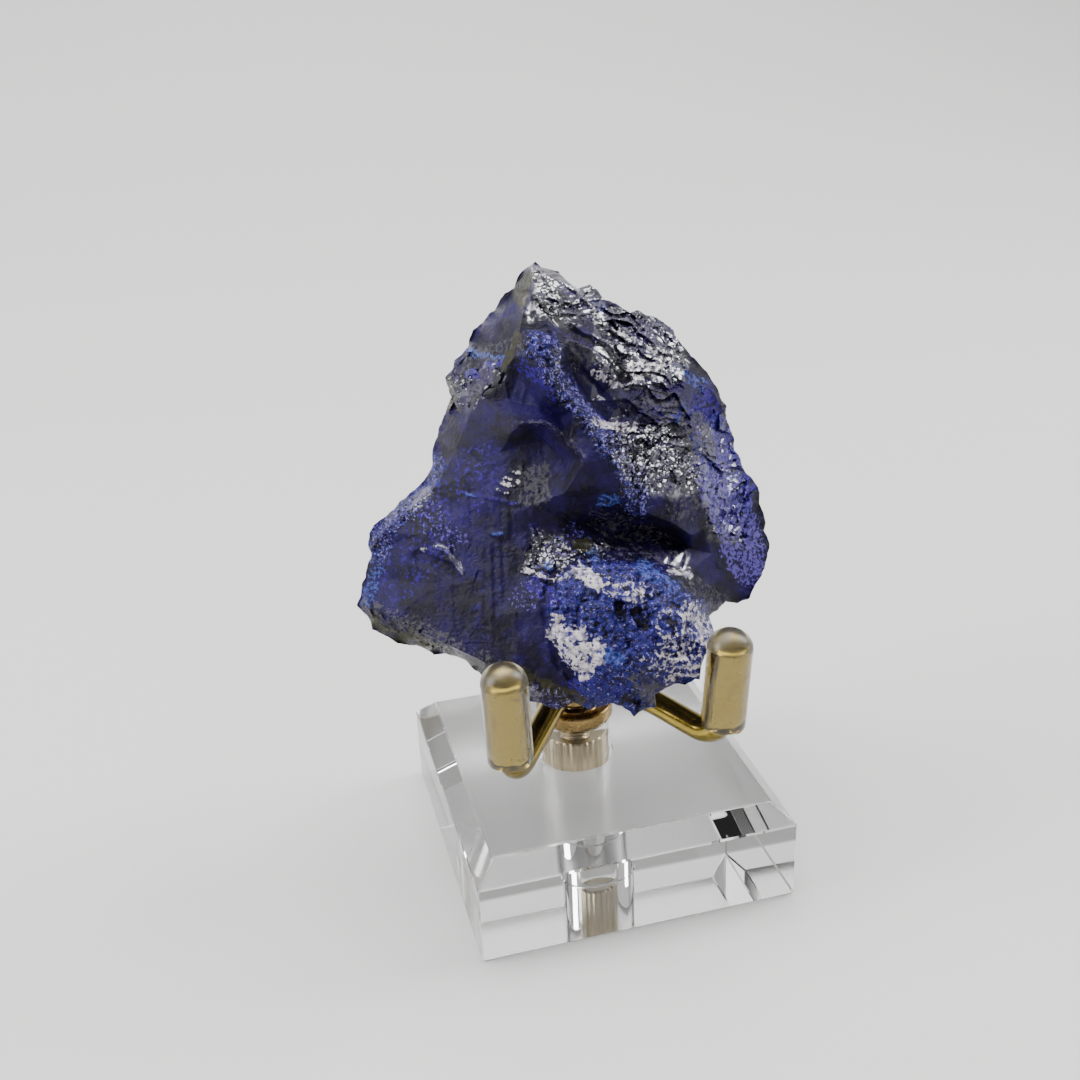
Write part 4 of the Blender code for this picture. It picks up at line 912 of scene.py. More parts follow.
def start_piece(name):
    """Name the primitive that has just been added and open it for editing."""
    obj = bpy.context.active_object
    obj.name = name
    obj.data.name = name
    bpy.ops.object.mode_set(mode="EDIT")
    bpy.ops.mesh.select_mode(type="VERT")
    bpy.ops.mesh.select_all(action="SELECT")
    return obj


def pick(obj, kind, test):
    """Select the verts, edges or faces of the mesh being edited that pass a test."""
    bpy.ops.mesh.select_mode(type={"verts": "VERT", "edges": "EDGE", "faces": "FACE"}[kind])
    bpy.ops.mesh.select_all(action="DESELECT")
    bm = bmesh.from_edit_mesh(obj.data)
    for part in getattr(bm, kind):
        if test(part):
            part.select_set(True)
    bm.select_flush_mode()
    bmesh.update_edit_mesh(obj.data)


def close_piece(smooth_degrees=METAL_SMOOTH):
    """Merge doubles, turn the faces outwards, leave edit mode and shade."""
    bpy.ops.mesh.select_all(action="SELECT")
    bpy.ops.mesh.remove_doubles(threshold=MERGE_DISTANCE)
    bpy.ops.mesh.delete_loose()
    bpy.ops.mesh.select_all(action="SELECT")
    bpy.ops.mesh.normals_make_consistent(inside=False)
    bpy.ops.object.mode_set(mode="OBJECT")
    bpy.ops.object.transform_apply(location=True, rotation=True, scale=True)
    bpy.ops.object.shade_smooth_by_angle(angle=math.radians(smooth_degrees))


def apply_modifier(obj, kind, name, **values):
    """Add a modifier with its values and apply it."""
    bpy.context.view_layer.objects.active = obj
    modifier = obj.modifiers.new(name, kind)
    for key, value in values.items():
        setattr(modifier, key, value)
    bpy.ops.object.modifier_apply(modifier=modifier.name)


def check_closed(obj):
    """Stop if a piece came out empty, open or inside out."""
    bm = bmesh.new()
    bm.from_mesh(obj.data)
    open_edges = sum(1 for edge in bm.edges if not edge.is_manifold)
    volume = bm.calc_volume(signed=True)
    bm.free()
    faces = len(obj.data.polygons)
    if not faces or open_edges or volume <= 0.0:
        raise RuntimeError(f"{obj.name}: {faces} faces, {open_edges} open edges, volume {volume}")


def finish_piece(obj, skin, nodes):
    """Give a piece its material, its body and the solids that it stands for."""
    check_closed(obj)
    obj.data.materials.clear()
    obj.data.materials.append(skin)
    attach(obj, "root")
    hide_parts(*nodes)


def turned_piece(name, profile, steps, smooth_degrees=METAL_SMOOTH):
    """Draw a half profile of (radius, height) with extruded points and spin it about the upright axis."""
    deselect()
    bpy.ops.mesh.primitive_plane_add(size=0.001, location=(0.0, 0.0, 0.0))
    start_piece(name)
    bpy.ops.mesh.merge(type="CENTER")
    bpy.ops.transform.translate(value=(profile[0][0], 0.0, profile[0][1]))
    for (r0, z0), (r1, z1) in zip(profile, profile[1:]):
        bpy.ops.mesh.extrude_vertices_move(TRANSFORM_OT_translate={"value": (r1 - r0, 0.0, z1 - z0)})
    bpy.ops.mesh.select_all(action="SELECT")
    bpy.ops.mesh.spin(steps=steps, angle=math.tau, center=(0.0, 0.0, 0.0), axis=(0.0, 0.0, 1.0))
    close_piece(smooth_degrees)
    return bpy.context.active_object


def place_piece(obj, place, upward=None):
    """Stand a piece on a place, leaning along a direction, and apply it to the mesh."""
    deselect()
    obj.select_set(True)
    bpy.context.view_layer.objects.active = obj
    if upward is not None:
        obj.rotation_mode = "QUATERNION"
        obj.rotation_quaternion = Vector((0.0, 0.0, 1.0)).rotation_difference(upward)
    obj.location = place
    bpy.ops.object.transform_apply(location=True, rotation=True, scale=True)


def arc(centre, radii, start, end, steps):
    """List points on an elliptical arc of (radius, height), between two angles in degrees."""
    angles = [math.radians(start + (end - start) * i / steps) for i in range(steps + 1)]
    return [(centre[0] + radii[0] * math.cos(a), centre[1] + radii[1] * math.sin(a)) for a in angles]


def build_base(skin, edge):
    """Model the clear block with its wide upper bevel, fine edges and the pillar's bore."""
    low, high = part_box("acrylic_base")
    size = high - low
    deselect()
    bpy.ops.mesh.primitive_cube_add(size=1.0, location=(low + high) / 2.0, scale=size)
    base = start_piece("clear_block")
    bpy.ops.object.mode_set(mode="OBJECT")
    bpy.ops.object.transform_apply(location=True, rotation=True, scale=True)
    bpy.ops.object.mode_set(mode="EDIT")
    pick(base, "edges", lambda e: min(v.co.z for v in e.verts) > size.z / 2.0)
    bpy.ops.mesh.bevel(offset=BASE_BEVEL, offset_type="OFFSET", segments=1, affect="EDGES")
    close_piece()
    deselect()
    middle = Vector((AXIS.x, AXIS.y, size.z / 2.0))
    bpy.ops.mesh.primitive_cylinder_add(
        vertices=BORE_SIDES, radius=PILLAR_RADIUS + GAP, depth=size.z * 2.0, location=middle,
    )
    bore = bpy.context.active_object
    deselect()
    base.select_set(True)
    apply_modifier(base, "BOOLEAN", "pillar bore", operation="DIFFERENCE", solver="EXACT", object=bore)
    bpy.data.objects.remove(bore, do_unlink=True)
    apply_modifier(
        base, "BEVEL", "eased edges", width=edge, segments=1, limit_method="ANGLE",
        angle_limit=math.radians(30.0),
    )
    bpy.ops.object.shade_smooth_by_angle(angle=math.radians(CLEAR_SMOOTH))
    finish_piece(base, skin, ["acrylic_base"])


def build_pillar(skin, edge):
    """Model the clear pillar, whose acrylic fits tight round the stud."""
    _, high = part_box("acrylic_pillar")
    profile = [(0.0, 0.0), (PILLAR_RADIUS - edge, 0.0), (PILLAR_RADIUS, edge)]
    profile += [(PILLAR_RADIUS, high.z - edge), (PILLAR_RADIUS - edge, high.z), (0.0, high.z)]
    pillar = turned_piece("clear_pillar", profile, TURNED_SIDES, CLEAR_SMOOTH)
    place_piece(pillar, AXIS)
    finish_piece(pillar, skin, ["acrylic_pillar"])


def build_stud(skin):
    """Model the stud: a straight-ribbed insert below and a slimmer threaded shank above."""
    _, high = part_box("brass_stud")
    rim = INSERT_RADIUS - STUD_CHAMFER
    profile = [(0.0, STUD_FOOT), (rim, STUD_FOOT), (INSERT_RADIUS, STUD_FOOT + STUD_CHAMFER)]
    profile += [(INSERT_RADIUS, INSERT_TOP - STUD_CHAMFER), (rim, INSERT_TOP)]
    turns = int((high.z - INSERT_TOP) / THREAD_PITCH)
    for i in range(turns):
        foot = INSERT_TOP + i * THREAD_PITCH
        profile += [(SHANK_RADIUS - THREAD_DEPTH, foot), (SHANK_RADIUS, foot + THREAD_PITCH / 2.0)]
    profile += [(SHANK_RADIUS - THREAD_DEPTH, high.z), (0.0, high.z)]
    stud = turned_piece("ribbed_stud", profile, INSERT_RIBS * 4, THREAD_SMOOTH)
    bpy.ops.object.mode_set(mode="EDIT")
    pick(stud, "verts", lambda v: v.co.z < INSERT_TOP - STUD_CHAMFER * 0.9 and in_rib_valley(v.co))
    bpy.ops.transform.resize(value=(RIB_VALLEY, RIB_VALLEY, 1.0), center_override=(0.0, 0.0, 0.0))
    bpy.ops.object.mode_set(mode="OBJECT")
    place_piece(stud, AXIS)
    finish_piece(stud, skin, ["brass_stud"])


def in_rib_valley(place):
    """Tell whether a point of the insert lies in a valley between two ribs."""
    share = (math.atan2(place.y, place.x) / math.tau * INSERT_RIBS) % 1.0
    return 0.4 < share < 0.85 and math.hypot(place.x, place.y) > INSERT_RADIUS * 0.5


def build_collar(skin):
    """Model the turned disc, with a rounded rim, a raised ring and turning grooves in its top."""
    low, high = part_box("brass_collar")
    bore = STUD_RADIUS + GAP
    edge, groove = COLLAR_EDGE, COLLAR_GROOVE
    rim = COLLAR_RADIUS - edge
    profile = [(bore, low.z), (COLLAR_RADIUS - groove, low.z), (COLLAR_RADIUS, low.z + groove)]
    profile += arc((rim, high.z - edge), (edge, edge), 0.0, 90.0, 6)
    profile += [(rim - edge, high.z), (rim - edge - groove, high.z - groove)]
    profile += [(rim - 2.0 * edge - groove, high.z - groove)]
    profile += [(rim - 2.3 * edge - groove, high.z - 0.5 * groove)]
    profile += [(rim - 3.0 * edge - groove, high.z - groove), (bore, high.z - groove), (bore, low.z)]
    collar = turned_piece("turned_collar", profile, TURNED_SIDES)
    place_piece(collar, AXIS)
    finish_piece(collar, skin, ["brass_collar"])


def build_hub(skin):
    """Model the turned hub: neck, flare and domed knob."""
    low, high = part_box("brass_hub")
    bore = STUD_RADIUS + GAP
    profile = [(bore, low.z), (HUB_NECK_RADIUS, low.z)]
    profile += [(HUB_NECK_RADIUS, HUB_NECK_TOP), (HUB_RADIUS, HUB_FLARE_TOP)]
    profile += arc((HUB_RADIUS - HUB_DOME, high.z - HUB_DOME), (HUB_DOME, HUB_DOME), 0.0, 90.0, 8)
    stud_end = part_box("brass_stud")[1].z + GAP
    profile += [(0.0, high.z), (0.0, stud_end), (bore, stud_end), (bore, low.z)]
    hub = turned_piece("turned_hub", profile, TURNED_SIDES)
    place_piece(hub, AXIS)
    finish_piece(hub, skin, ["brass_hub"])


def bend_between(before, corner, after, bend):
    """Give the end of the straight run, the bend's centre, its axis and its turn, at a rounded corner."""
    arriving, leaving = (corner - before).normalized(), (after - corner).normalized()
    turn = arriving.angle(leaving)
    inward = (leaving - arriving).normalized()
    centre = corner + inward * (bend / math.cos(turn / 2.0))
    foot = corner - arriving * (bend * math.tan(turn / 2.0))
    return foot, centre, arriving.cross(leaving).normalized(), turn


def build_arm(side, skin):
    """Model one arm by extruding and spinning a round section from the hub up its prong."""
    start, shoulder, elbow, upward = arm_corners(side)
    tip = elbow + upward * (ARMS[side][3] + SLEEVE_LENGTH - SLEEVE_CAP)
    corners = [start, shoulder, elbow, tip]
    heading = (shoulder - start).normalized()
    deselect()
    bpy.ops.mesh.primitive_circle_add(
        vertices=ROD_SIDES, radius=ARM_RADIUS, fill_type="NGON", location=start,
        rotation=heading.to_track_quat("Z", "Y").to_euler(),
    )
    bpy.ops.object.transform_apply(location=True, rotation=True, scale=True)
    arm = start_piece("brass_rod_" + side)
    here = start
    for before, corner, after, bend in zip(corners, corners[1:], corners[2:], (SHOULDER_BEND, ELBOW_BEND)):
        foot, centre, axis, turn = bend_between(before, corner, after, bend)
        bpy.ops.mesh.extrude_region_move(TRANSFORM_OT_translate={"value": foot - here})
        steps = max(3, math.ceil(turn / BEND_STEP))
        bpy.ops.mesh.spin(steps=steps, angle=-turn, center=centre, axis=axis)
        here = centre + Matrix.Rotation(turn, 3, axis) @ (foot - centre)
    bpy.ops.mesh.extrude_region_move(TRANSFORM_OT_translate={"value": tip - here})
    close_piece(ROD_SMOOTH)
    apply_modifier(arm, "BEVEL", "eased end", width=ROD_END_ROUND, segments=3, limit_method="ANGLE",
                   angle_limit=math.radians(60.0))
    bpy.ops.object.shade_smooth_by_angle(angle=math.radians(ROD_SMOOTH))
    finish_piece(arm, skin, ["brass_arm_" + side])


def build_sleeve(side, skin):
    """Model one clear vinyl sleeve as a solid with a soft dome and a ragged foot, its rod run into it.

    There is no bore, so no air gap hides how the vinyl magnifies the rod.
    """
    foot = SLEEVE_FOOT_ROUND
    profile = [(0.0, 0.0), (SLEEVE_RADIUS - foot, 0.0)]
    profile += arc((SLEEVE_RADIUS - foot, foot), (foot, foot), -75.0, 0.0, 4)
    top = SLEEVE_LENGTH - SLEEVE_DOME
    profile += [(SLEEVE_RADIUS, foot + (top - foot) * i / 8.0) for i in range(1, 8)]
    profile += arc((0.0, top), (SLEEVE_RADIUS, SLEEVE_DOME), 0.0, 84.0, 9) + [(0.0, SLEEVE_LENGTH)]
    sleeve = turned_piece("vinyl_tube_" + side, profile, SLEEVE_SIDES, SLEEVE_SMOOTH)
    for vertex in sleeve.data.vertices:
        angle = math.atan2(vertex.co.y, vertex.co.x)
        share = max(0.0, 1.0 - vertex.co.z / FOOT_RAGGED_HEIGHT)
        vertex.co.z += share * FOOT_RAGGED * (1.0 + math.sin(3.0 * angle + 1.0) + 0.6 * math.sin(7.0 * angle))
    _, _, elbow, upward = arm_corners(side)
    place_piece(sleeve, elbow + upward * ARMS[side][3], upward)
    finish_piece(sleeve, skin, ["vinyl_sleeve_" + side])


def build_stone(skin, front_spacing, back_spacing, rim_spacing):
    """Make the specimen's fine surface from the solid's own edges, lips and gullies."""
    outline = fine_outline(rim_spacing)
    front_net = control_net(FRONT_CHAINS, FRONT_POINTS)
    back_net = control_net(BACK_CHAINS, BACK_POINTS)
    front, front_faces = sheet(outline, FRONT_CHAINS, front_spacing, 11)
    back, back_faces = sheet(outline, BACK_CHAINS, back_spacing, 12)
    front_depths, front_proud = side_depths(front, outline, front_net, back_net, show_relief, 1.0)
    back_depths, back_proud = side_depths(back, outline, back_net, front_net, back_relief, -1.0)
    rim = len(outline)
    inner = len(front) - rim
    places = np.vstack([settled(front, front_depths), settled(back[rim:], back_depths[rim:])])
    faces = [tuple(face) for face in front_faces]
    faces += [tuple(i if i < rim else i + inner for i in reversed(face)) for face in back_faces]
    mesh = bpy.data.meshes.new("azurite_stone")
    mesh.from_pydata(places.tolist(), [], faces)
    front_tints, hidden_tints = show_tints(front[:, :2]), back_tints(back[rim:, :2])
    front_tints["proud"], hidden_tints["proud"] = front_proud, back_proud[rim:]
    for name in front_tints:
        values = np.concatenate([front_tints[name], hidden_tints[name]]).astype(np.float32)
        mesh.attributes.new(name, "FLOAT", "POINT").data.foreach_set("value", values)
    stone = bpy.data.objects.new("azurite_stone", mesh)
    bpy.context.scene.collection.objects.link(stone)
    deselect()
    stone.select_set(True)
    bpy.context.view_layer.objects.active = stone
    bpy.ops.object.mode_set(mode="EDIT")
    bpy.ops.mesh.select_all(action="SELECT")
    bpy.ops.mesh.delete_loose()
    bpy.ops.mesh.select_all(action="SELECT")
    bpy.ops.mesh.normals_make_consistent(inside=False)
    bpy.ops.object.mode_set(mode="OBJECT")
    bpy.ops.object.shade_smooth_by_angle(angle=math.radians(STONE_SMOOTH))
    finish_piece(stone, skin, ["azurite"])


class Nodes:
    """A short way to lay out shader nodes in one tree."""

    def __init__(self, tree):
        self.tree = tree

    def fill(self, node, sockets):
        """Give each input of a node its own value, or the output that feeds it."""
        for key, value in sockets.items():
            if isinstance(value, bpy.types.NodeSocket):
                self.tree.links.new(value, node.inputs[key])
            else:
                node.inputs[key].default_value = value

    def add(self, kind, sockets=None, **values):
        """Add a node with its properties and its inputs, and return it."""
        node = self.tree.nodes.new(kind)
        for key, value in values.items():
            setattr(node, key, value)
        self.fill(node, sockets or {})
        return node

    def noise(self, vector, scale, detail=4.0, roughness=0.55, distortion=0.0):
        """Add a noise texture and return its value."""
        return self.add("ShaderNodeTexNoise", {
            "Vector": vector, "Scale": scale, "Detail": detail, "Roughness": roughness,
            "Distortion": distortion,
        }).outputs["Fac"]

    def math(self, operation, first, second=0.0):
        """Add a math node on sockets or numbers and return its value."""
        return self.add("ShaderNodeMath", {0: first, 1: second}, operation=operation).outputs[0]

    def ramp(self, value, low, high, to_low=0.0, to_high=1.0):
        """Stretch a value between two limits, smoothly, and return it."""
        return self.add("ShaderNodeMapRange", {
            "Value": value, "From Min": low, "From Max": high, "To Min": to_low, "To Max": to_high,
        }, interpolation_type="SMOOTHSTEP").outputs["Result"]

    def mix(self, share, first, second):
        """Mix two colours, each a socket or a colour, and return the result."""
        node = self.add("ShaderNodeMix", {"Factor": share}, data_type="RGBA")
        ends = [i for i, socket in enumerate(node.inputs) if socket.type == "RGBA"]
        self.fill(node, dict(zip(ends, (first, second))))
        return next(socket for socket in node.outputs if socket.type == "RGBA")

    def bump(self, shader, height, strength, distance):
        """Bend a shader's normal by a height."""
        node = self.add("ShaderNodeBump", {"Strength": strength, "Distance": distance, "Height": height})
        self.fill(shader, {"Normal": node.outputs["Normal"]})


def new_material(name):
    """Make a node material and give it, its shader, its node helper and its Object coordinates."""
    made = bpy.data.materials.new(name)
    made.use_nodes = True
    tree = Nodes(made.node_tree)
    place = tree.add("ShaderNodeTexCoord").outputs["Object"]
    return made, made.node_tree.nodes["Principled BSDF"], tree, place


def speckle_group():
    """Build the shared group that scatters specks over a share of a masked place."""
    group = bpy.data.node_groups.get("scattered specks")
    if group:
        return group
    group = bpy.data.node_groups.new("scattered specks", "ShaderNodeTree")
    for name in ("Mask", "Lift", "Vector", "Scale", "Cover"):
        kind = "NodeSocketVector" if name == "Vector" else "NodeSocketFloat"
        group.interface.new_socket(name, in_out="INPUT", socket_type=kind)
    group.interface.new_socket("Specks", in_out="OUTPUT", socket_type="NodeSocketFloat")
    tree = Nodes(group)
    given = tree.add("NodeGroupInput").outputs
    even = tree.ramp(tree.noise(given["Vector"], given["Scale"], 5.0, 0.68), 0.3, 0.7)
    wanted = tree.math("MULTIPLY", given["Mask"], given["Cover"])
    level = tree.math("ADD", tree.math("ADD", even, given["Lift"]), wanted)
    specks = tree.ramp(level, 0.92, 1.12)
    gated = tree.math("MULTIPLY", specks, tree.ramp(given["Mask"], 0.02, 0.2))
    tree.add("NodeGroupOutput", {"Specks": gated})
    return group


def scattered(tree, mask, lift, place, scale, cover):
    """Place the shared specks group on a mask and return the specks."""
    return tree.add("ShaderNodeGroup", {
        "Mask": mask, "Lift": lift, "Vector": place, "Scale": scale, "Cover": cover,
    }, node_tree=speckle_group()).outputs["Specks"]


def painted(tree, name):
    """Read a mask that is stored on the mesh."""
    return tree.add("ShaderNodeAttribute", attribute_name=name).outputs["Fac"]


def stone_material(colours):
    """Make the azurite: near-black glassy blue with cobalt, violet, grey, olive and white places."""
    made, shader, tree, place = new_material("azurite stone")
    masks = {name: painted(tree, name) for name in TINT_NAMES}
    proud = tree.math("SUBTRACT", painted(tree, "proud"), 0.5)
    upright = tree.add("ShaderNodeMapping", {"Vector": place, "Scale": (1.0, 1.0, 0.1)})
    streaks = tree.noise(upright.outputs["Vector"], 1900.0, 4.0, 0.6)
    broad = tree.noise(place, 170.0, 6.0, 0.62)
    patchy = tree.noise(place, 560.0, 6.0, 0.74)
    fine = tree.noise(place, 2600.0, 5.0, 0.65)
    colour = tree.mix(tree.ramp(broad, 0.4, 0.66), colours["deep"], colours["indigo"])
    colour = tree.mix(tree.ramp(streaks, 0.52, 0.75, 0.0, 0.55), colour, colours["haze"])
    patches = tree.math("MULTIPLY", tree.ramp(patchy, 0.56, 0.72), 0.5)
    colour = tree.mix(patches, colour, colours["royal"])
    mottled = tree.ramp(tree.noise(place, 1100.0, 5.0, 0.72), 0.42, 0.62)
    shades = dict(colours, white=tree.mix(mottled, colours["white"], colours["lilac"]))
    # The silvery and pale grain specks, kept to the crests, are painted glints; the layer on the gullies,
    # kept to the clefts, is painted shade
    for name, tint, scale, cover, lift in TINT_LAYERS:
        raised = tree.math("MULTIPLY", proud, lift)
        colour = tree.mix(scattered(tree, masks[name], raised, place, scale, cover), colour, shades[tint])
    # Painted shade: black darkens the clefts, where the relief lies below its surroundings
    colour = tree.mix(tree.ramp(proud, -0.42, -0.16, 0.5, 0.0), colour, colours["black"])
    dull = tree.math("MAXIMUM", masks["white"], tree.math("MULTIPLY", masks["grey"], 0.8))
    # The silvery mask also gives a real glossy coat, beside the painted glint in the colour
    shine = tree.math("MULTIPLY", masks["silver"], tree.ramp(broad, 0.3, 0.6, 0.45, 1.0))
    grain = tree.ramp(fine, 0.3, 0.75, 0.05, 0.22)
    tree.fill(shader, {
        "Base Color": colour,
        "Roughness": tree.math("ADD", tree.math("MULTIPLY", dull, 0.3), grain),
        "IOR": STONE_IOR,
        "Coat Weight": tree.math("MAXIMUM", shine, tree.ramp(patchy, 0.66, 0.74, 0.0, 0.4)),
        "Coat IOR": COAT_IOR,
        "Coat Roughness": COAT_ROUGHNESS,
    })
    height = tree.math("ADD", tree.noise(place, 1400.0, 6.0, 0.7), tree.math("MULTIPLY", fine, 0.5))
    height = tree.math("ADD", height, tree.math("MULTIPLY", streaks, 0.3))
    calm = tree.math("SUBTRACT", 1.0, tree.math("MULTIPLY", masks["silver"], 0.75))
    tree.bump(shader, tree.math("MULTIPLY", height, calm), *STONE_BUMP)
    return made


def clear_material(name, colour, absorbed, density, ior, roughness, worn=None):
    """Make a clear plastic by plain transmission, refraction index and absorption.

    A worn level is given as its height, its reach, its added roughness and its glaze.
    """
    made, shader, tree, place = new_material(name)
    tree.fill(shader, {"Base Color": colour, "Roughness": roughness, "IOR": ior, "Transmission Weight": 1.0})
    inside = tree.add("ShaderNodeVolumeAbsorption", {"Color": absorbed, "Density": density})
    tree.fill(made.node_tree.nodes["Material Output"], {"Volume": inside.outputs["Volume"]})
    if worn:
        level, reach, dullness, glaze = worn
        height = tree.add("ShaderNodeSeparateXYZ", {"Vector": place}).outputs["Z"]
        off = tree.math("ABSOLUTE", tree.math("SUBTRACT", height, level))
        there = tree.math("LESS_THAN", off, reach)
        dulled = tree.math("ADD", tree.math("MULTIPLY", there, dullness), roughness)
        tree.fill(shader, {"Roughness": dulled})
        if glaze:
            glazed = tree.math("MULTIPLY", there, glaze)
            tree.fill(shader, {"Coat Weight": glazed, "Coat Roughness": GLAZE_ROUGHNESS})
    return made


def brass_material(name, colour, stain, roughness, stain_share):
    """Make a brass with brown handling stains and fine scratches."""
    made, shader, tree, place = new_material(name)
    cloud = tree.ramp(tree.noise(place, 420.0, 5.0, 0.65, 0.6), 0.66 - stain_share, 0.86 - stain_share)
    scuffs = tree.ramp(tree.noise(place, 1300.0), 0.3, 0.8, roughness, roughness + BRASS_SPREAD)
    tree.fill(shader, {"Metallic": 1.0, "Base Color": tree.mix(cloud, colour, stain), "Roughness": scuffs})
    tree.bump(shader, tree.noise(place, 1800.0), *BRASS_BUMP)
    return made


def colour_property(name, description, default):
    """Declare a colour that a user can change."""
    return bpy.props.FloatVectorProperty(
        name=name, description=description, subtype="COLOR", size=4, min=0.0, max=1.0, default=default,
    )


def length_property(name, description, default):
    """Declare a length that a user can change."""
    return bpy.props.FloatProperty(
        name=name, description=description, subtype="DISTANCE", unit="LENGTH", precision=5, min=0.00001,
        default=default,
    )


def strength_property(name, description, default, unit="NONE"):
    """Declare a power, a strength or a density that a user can change."""
    return bpy.props.FloatProperty(name=name, description=description, unit=unit, min=0.0, default=default)


class StoneSettings(bpy.types.PropertyGroup):
    """Grain and colours of the azurite."""
    front_grain: length_property("Show face grain", "Spacing of the points on the show face", 0.00018)
    back_grain: length_property("Back grain", "Spacing of the points on the back", 0.00045)
    rim_grain: length_property("Rim grain", "Spacing of the points along the outline", 0.0003)
    deep: colour_property("Deep blue", "Near-black blue of the smooth faces", (0.0030, 0.0022, 0.0095, 1.0))
    indigo: colour_property("Indigo", "Indigo of the faces that catch light", (0.010, 0.0035, 0.062, 1.0))
    haze: colour_property("Haze", "Grey veil over the smooth faces", (0.010, 0.0062, 0.031, 1.0))
    royal: colour_property("Royal blue", "Violet blue seen through thin edges", (0.020, 0.0055, 0.17, 1.0))
    violet: colour_property("Violet", "Light violet blue of the right flank", (0.085, 0.062, 0.30, 1.0))
    cobalt: colour_property("Cobalt", "Cobalt of the granular places", (0.014, 0.014, 0.135, 1.0))
    # On the small crescent steps this sky blue is painted glints
    sky: colour_property("Sky blue", "Light blue specks and rims", (0.036, 0.060, 0.26, 1.0))
    # Grey is mostly matt patches; over the shaded hollow it is painted light, and on the lower bevel a
    # painted reflection of the floor
    grey: colour_property("Grey", "Matt grey of dull patches", (0.050, 0.047, 0.060, 1.0))
    # The silvery crest colour is a painted glint: a light grey standing in for reflections on the striated
    # facets. Its mask also sets the real coat.
    silver: colour_property("Silver", "Silvery crests of the striated facets", (0.060, 0.055, 0.092, 1.0))
    # On the tip's facet this olive is a painted reflection of a yellow flower
    olive: colour_property("Olive", "Brown olive of the tip and the lower edge", (0.022, 0.020, 0.010, 1.0))
    # These pale specks on the granular crests are painted glints
    pale: colour_property("Pale blue", "Pale specks on the granular places", (0.18, 0.16, 0.42, 1.0))
    lilac: colour_property("Lilac", "Lilac grey shade in the white crust", (0.22, 0.20, 0.30, 1.0))
    # White is the crust's own colour; on the upper right's lips and ledges and on the small crescent steps it
    # is painted glints
    white: colour_property("White", "White crust", (0.62, 0.58, 0.58, 1.0))
    # Black is painted shade, laid in the clefts where the relief sinks below its surroundings
    black: colour_property("Black", "Bottom of the gullies", (0.004, 0.004, 0.012, 1.0))


class StandSettings(bpy.types.PropertyGroup):
    """Finish of the clear and brass stand."""
    eased_edge: length_property("Eased edge", "Rounding of the block's fine edges", 0.00018)
    acrylic: colour_property("Acrylic", "Colour of the clear acrylic", (1.0, 1.0, 1.0, 1.0))
    acrylic_tint: colour_property("Acrylic absorption", "Colour left deep inside", (0.93, 0.95, 0.93, 1.0))
    acrylic_density: strength_property("Acrylic density", "How fast light is absorbed, per metre", 4.0)
    vinyl: colour_property("Vinyl", "Colour of the clear vinyl", (0.98, 0.97, 0.93, 1.0))
    vinyl_tint: colour_property("Vinyl absorption", "Colour left deep inside", (0.86, 0.83, 0.68, 1.0))
    vinyl_density: strength_property("Vinyl density", "How fast light is absorbed, per metre", 110.0)
    brass: colour_property("Polished brass", "Colour of the arms", (0.27, 0.20, 0.042, 1.0))
    brass_stain: colour_property("Brass stain", "Brown stains on the arms", (0.15, 0.105, 0.035, 1.0))
    turned: colour_property("Turned brass", "Colour of the collar and hub", (0.30, 0.20, 0.08, 1.0))
    turned_stain: colour_property("Turned stain", "Stains on the collar and hub", (0.18, 0.11, 0.045, 1.0))
    insert: colour_property("Insert brass", "Colour of the ribbed insert", (0.50, 0.42, 0.27, 1.0))


class StageSettings(bpy.types.PropertyGroup):
    """Floor, light and backdrop."""
    floor: colour_property("Floor", "Colour of the floor and backdrop", (0.60, 0.60, 0.595, 1.0))
    top_power: strength_property("Top light", "Power of the large soft light overhead", 10.8, "POWER")
    side_power: strength_property("Side lights", "Power of each side light", 4.0, "POWER")
    room: strength_property("Room light", "Strength of the even room light", 0.55)


class AZURITE_OT_block(bpy.types.Operator):
    """Model the clear acrylic block and pillar"""
    bl_idname = "azurite.block"
    bl_label = "Acrylic block and pillar"

    def execute(self, context):
        stand = context.scene.azurite_stand
        acrylic = (stand.acrylic, stand.acrylic_tint, stand.acrylic_density, ACRYLIC_IOR, 0.0)
        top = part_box("acrylic_base")[1].z
        skin = clear_material("clear acrylic", *acrylic)
        worn = clear_material("worn acrylic", *acrylic, (top, WORN_DEPTH, WORN_ROUGHNESS, WORN_GLAZE))
        build_base(worn, stand.eased_edge)
        build_pillar(skin, stand.eased_edge)
        return {"FINISHED"}


class AZURITE_OT_stud(bpy.types.Operator):
    """Model the stud, the collar and the hub"""
    bl_idname = "azurite.stud"
    bl_label = "Stud, collar and hub"

    def execute(self, context):
        stand = context.scene.azurite_stand
        build_stud(brass_material("insert brass", stand.insert, stand.turned_stain, 0.28, 0.0))
        turned_skin = brass_material("turned brass", stand.turned, stand.turned_stain, 0.24, 0.12)
        build_collar(turned_skin)
        build_hub(turned_skin)
        return {"FINISHED"}


class AZURITE_OT_arms(bpy.types.Operator):
    """Model the three brass arms and their vinyl sleeves"""
    bl_idname = "azurite.arms"
    bl_label = "Arms and sleeves"

    def execute(self, context):
        stand = context.scene.azurite_stand
        brass = brass_material("polished brass", stand.brass, stand.brass_stain, 0.16, 0.1)
        vinyl = clear_material(
            "clear vinyl", stand.vinyl, stand.vinyl_tint, stand.vinyl_density, VINYL_IOR, VINYL_ROUGHNESS,
            MILKY_DOME)
        for side in ARMS:
            build_arm(side, brass)
            build_sleeve(side, vinyl)
        return {"FINISHED"}


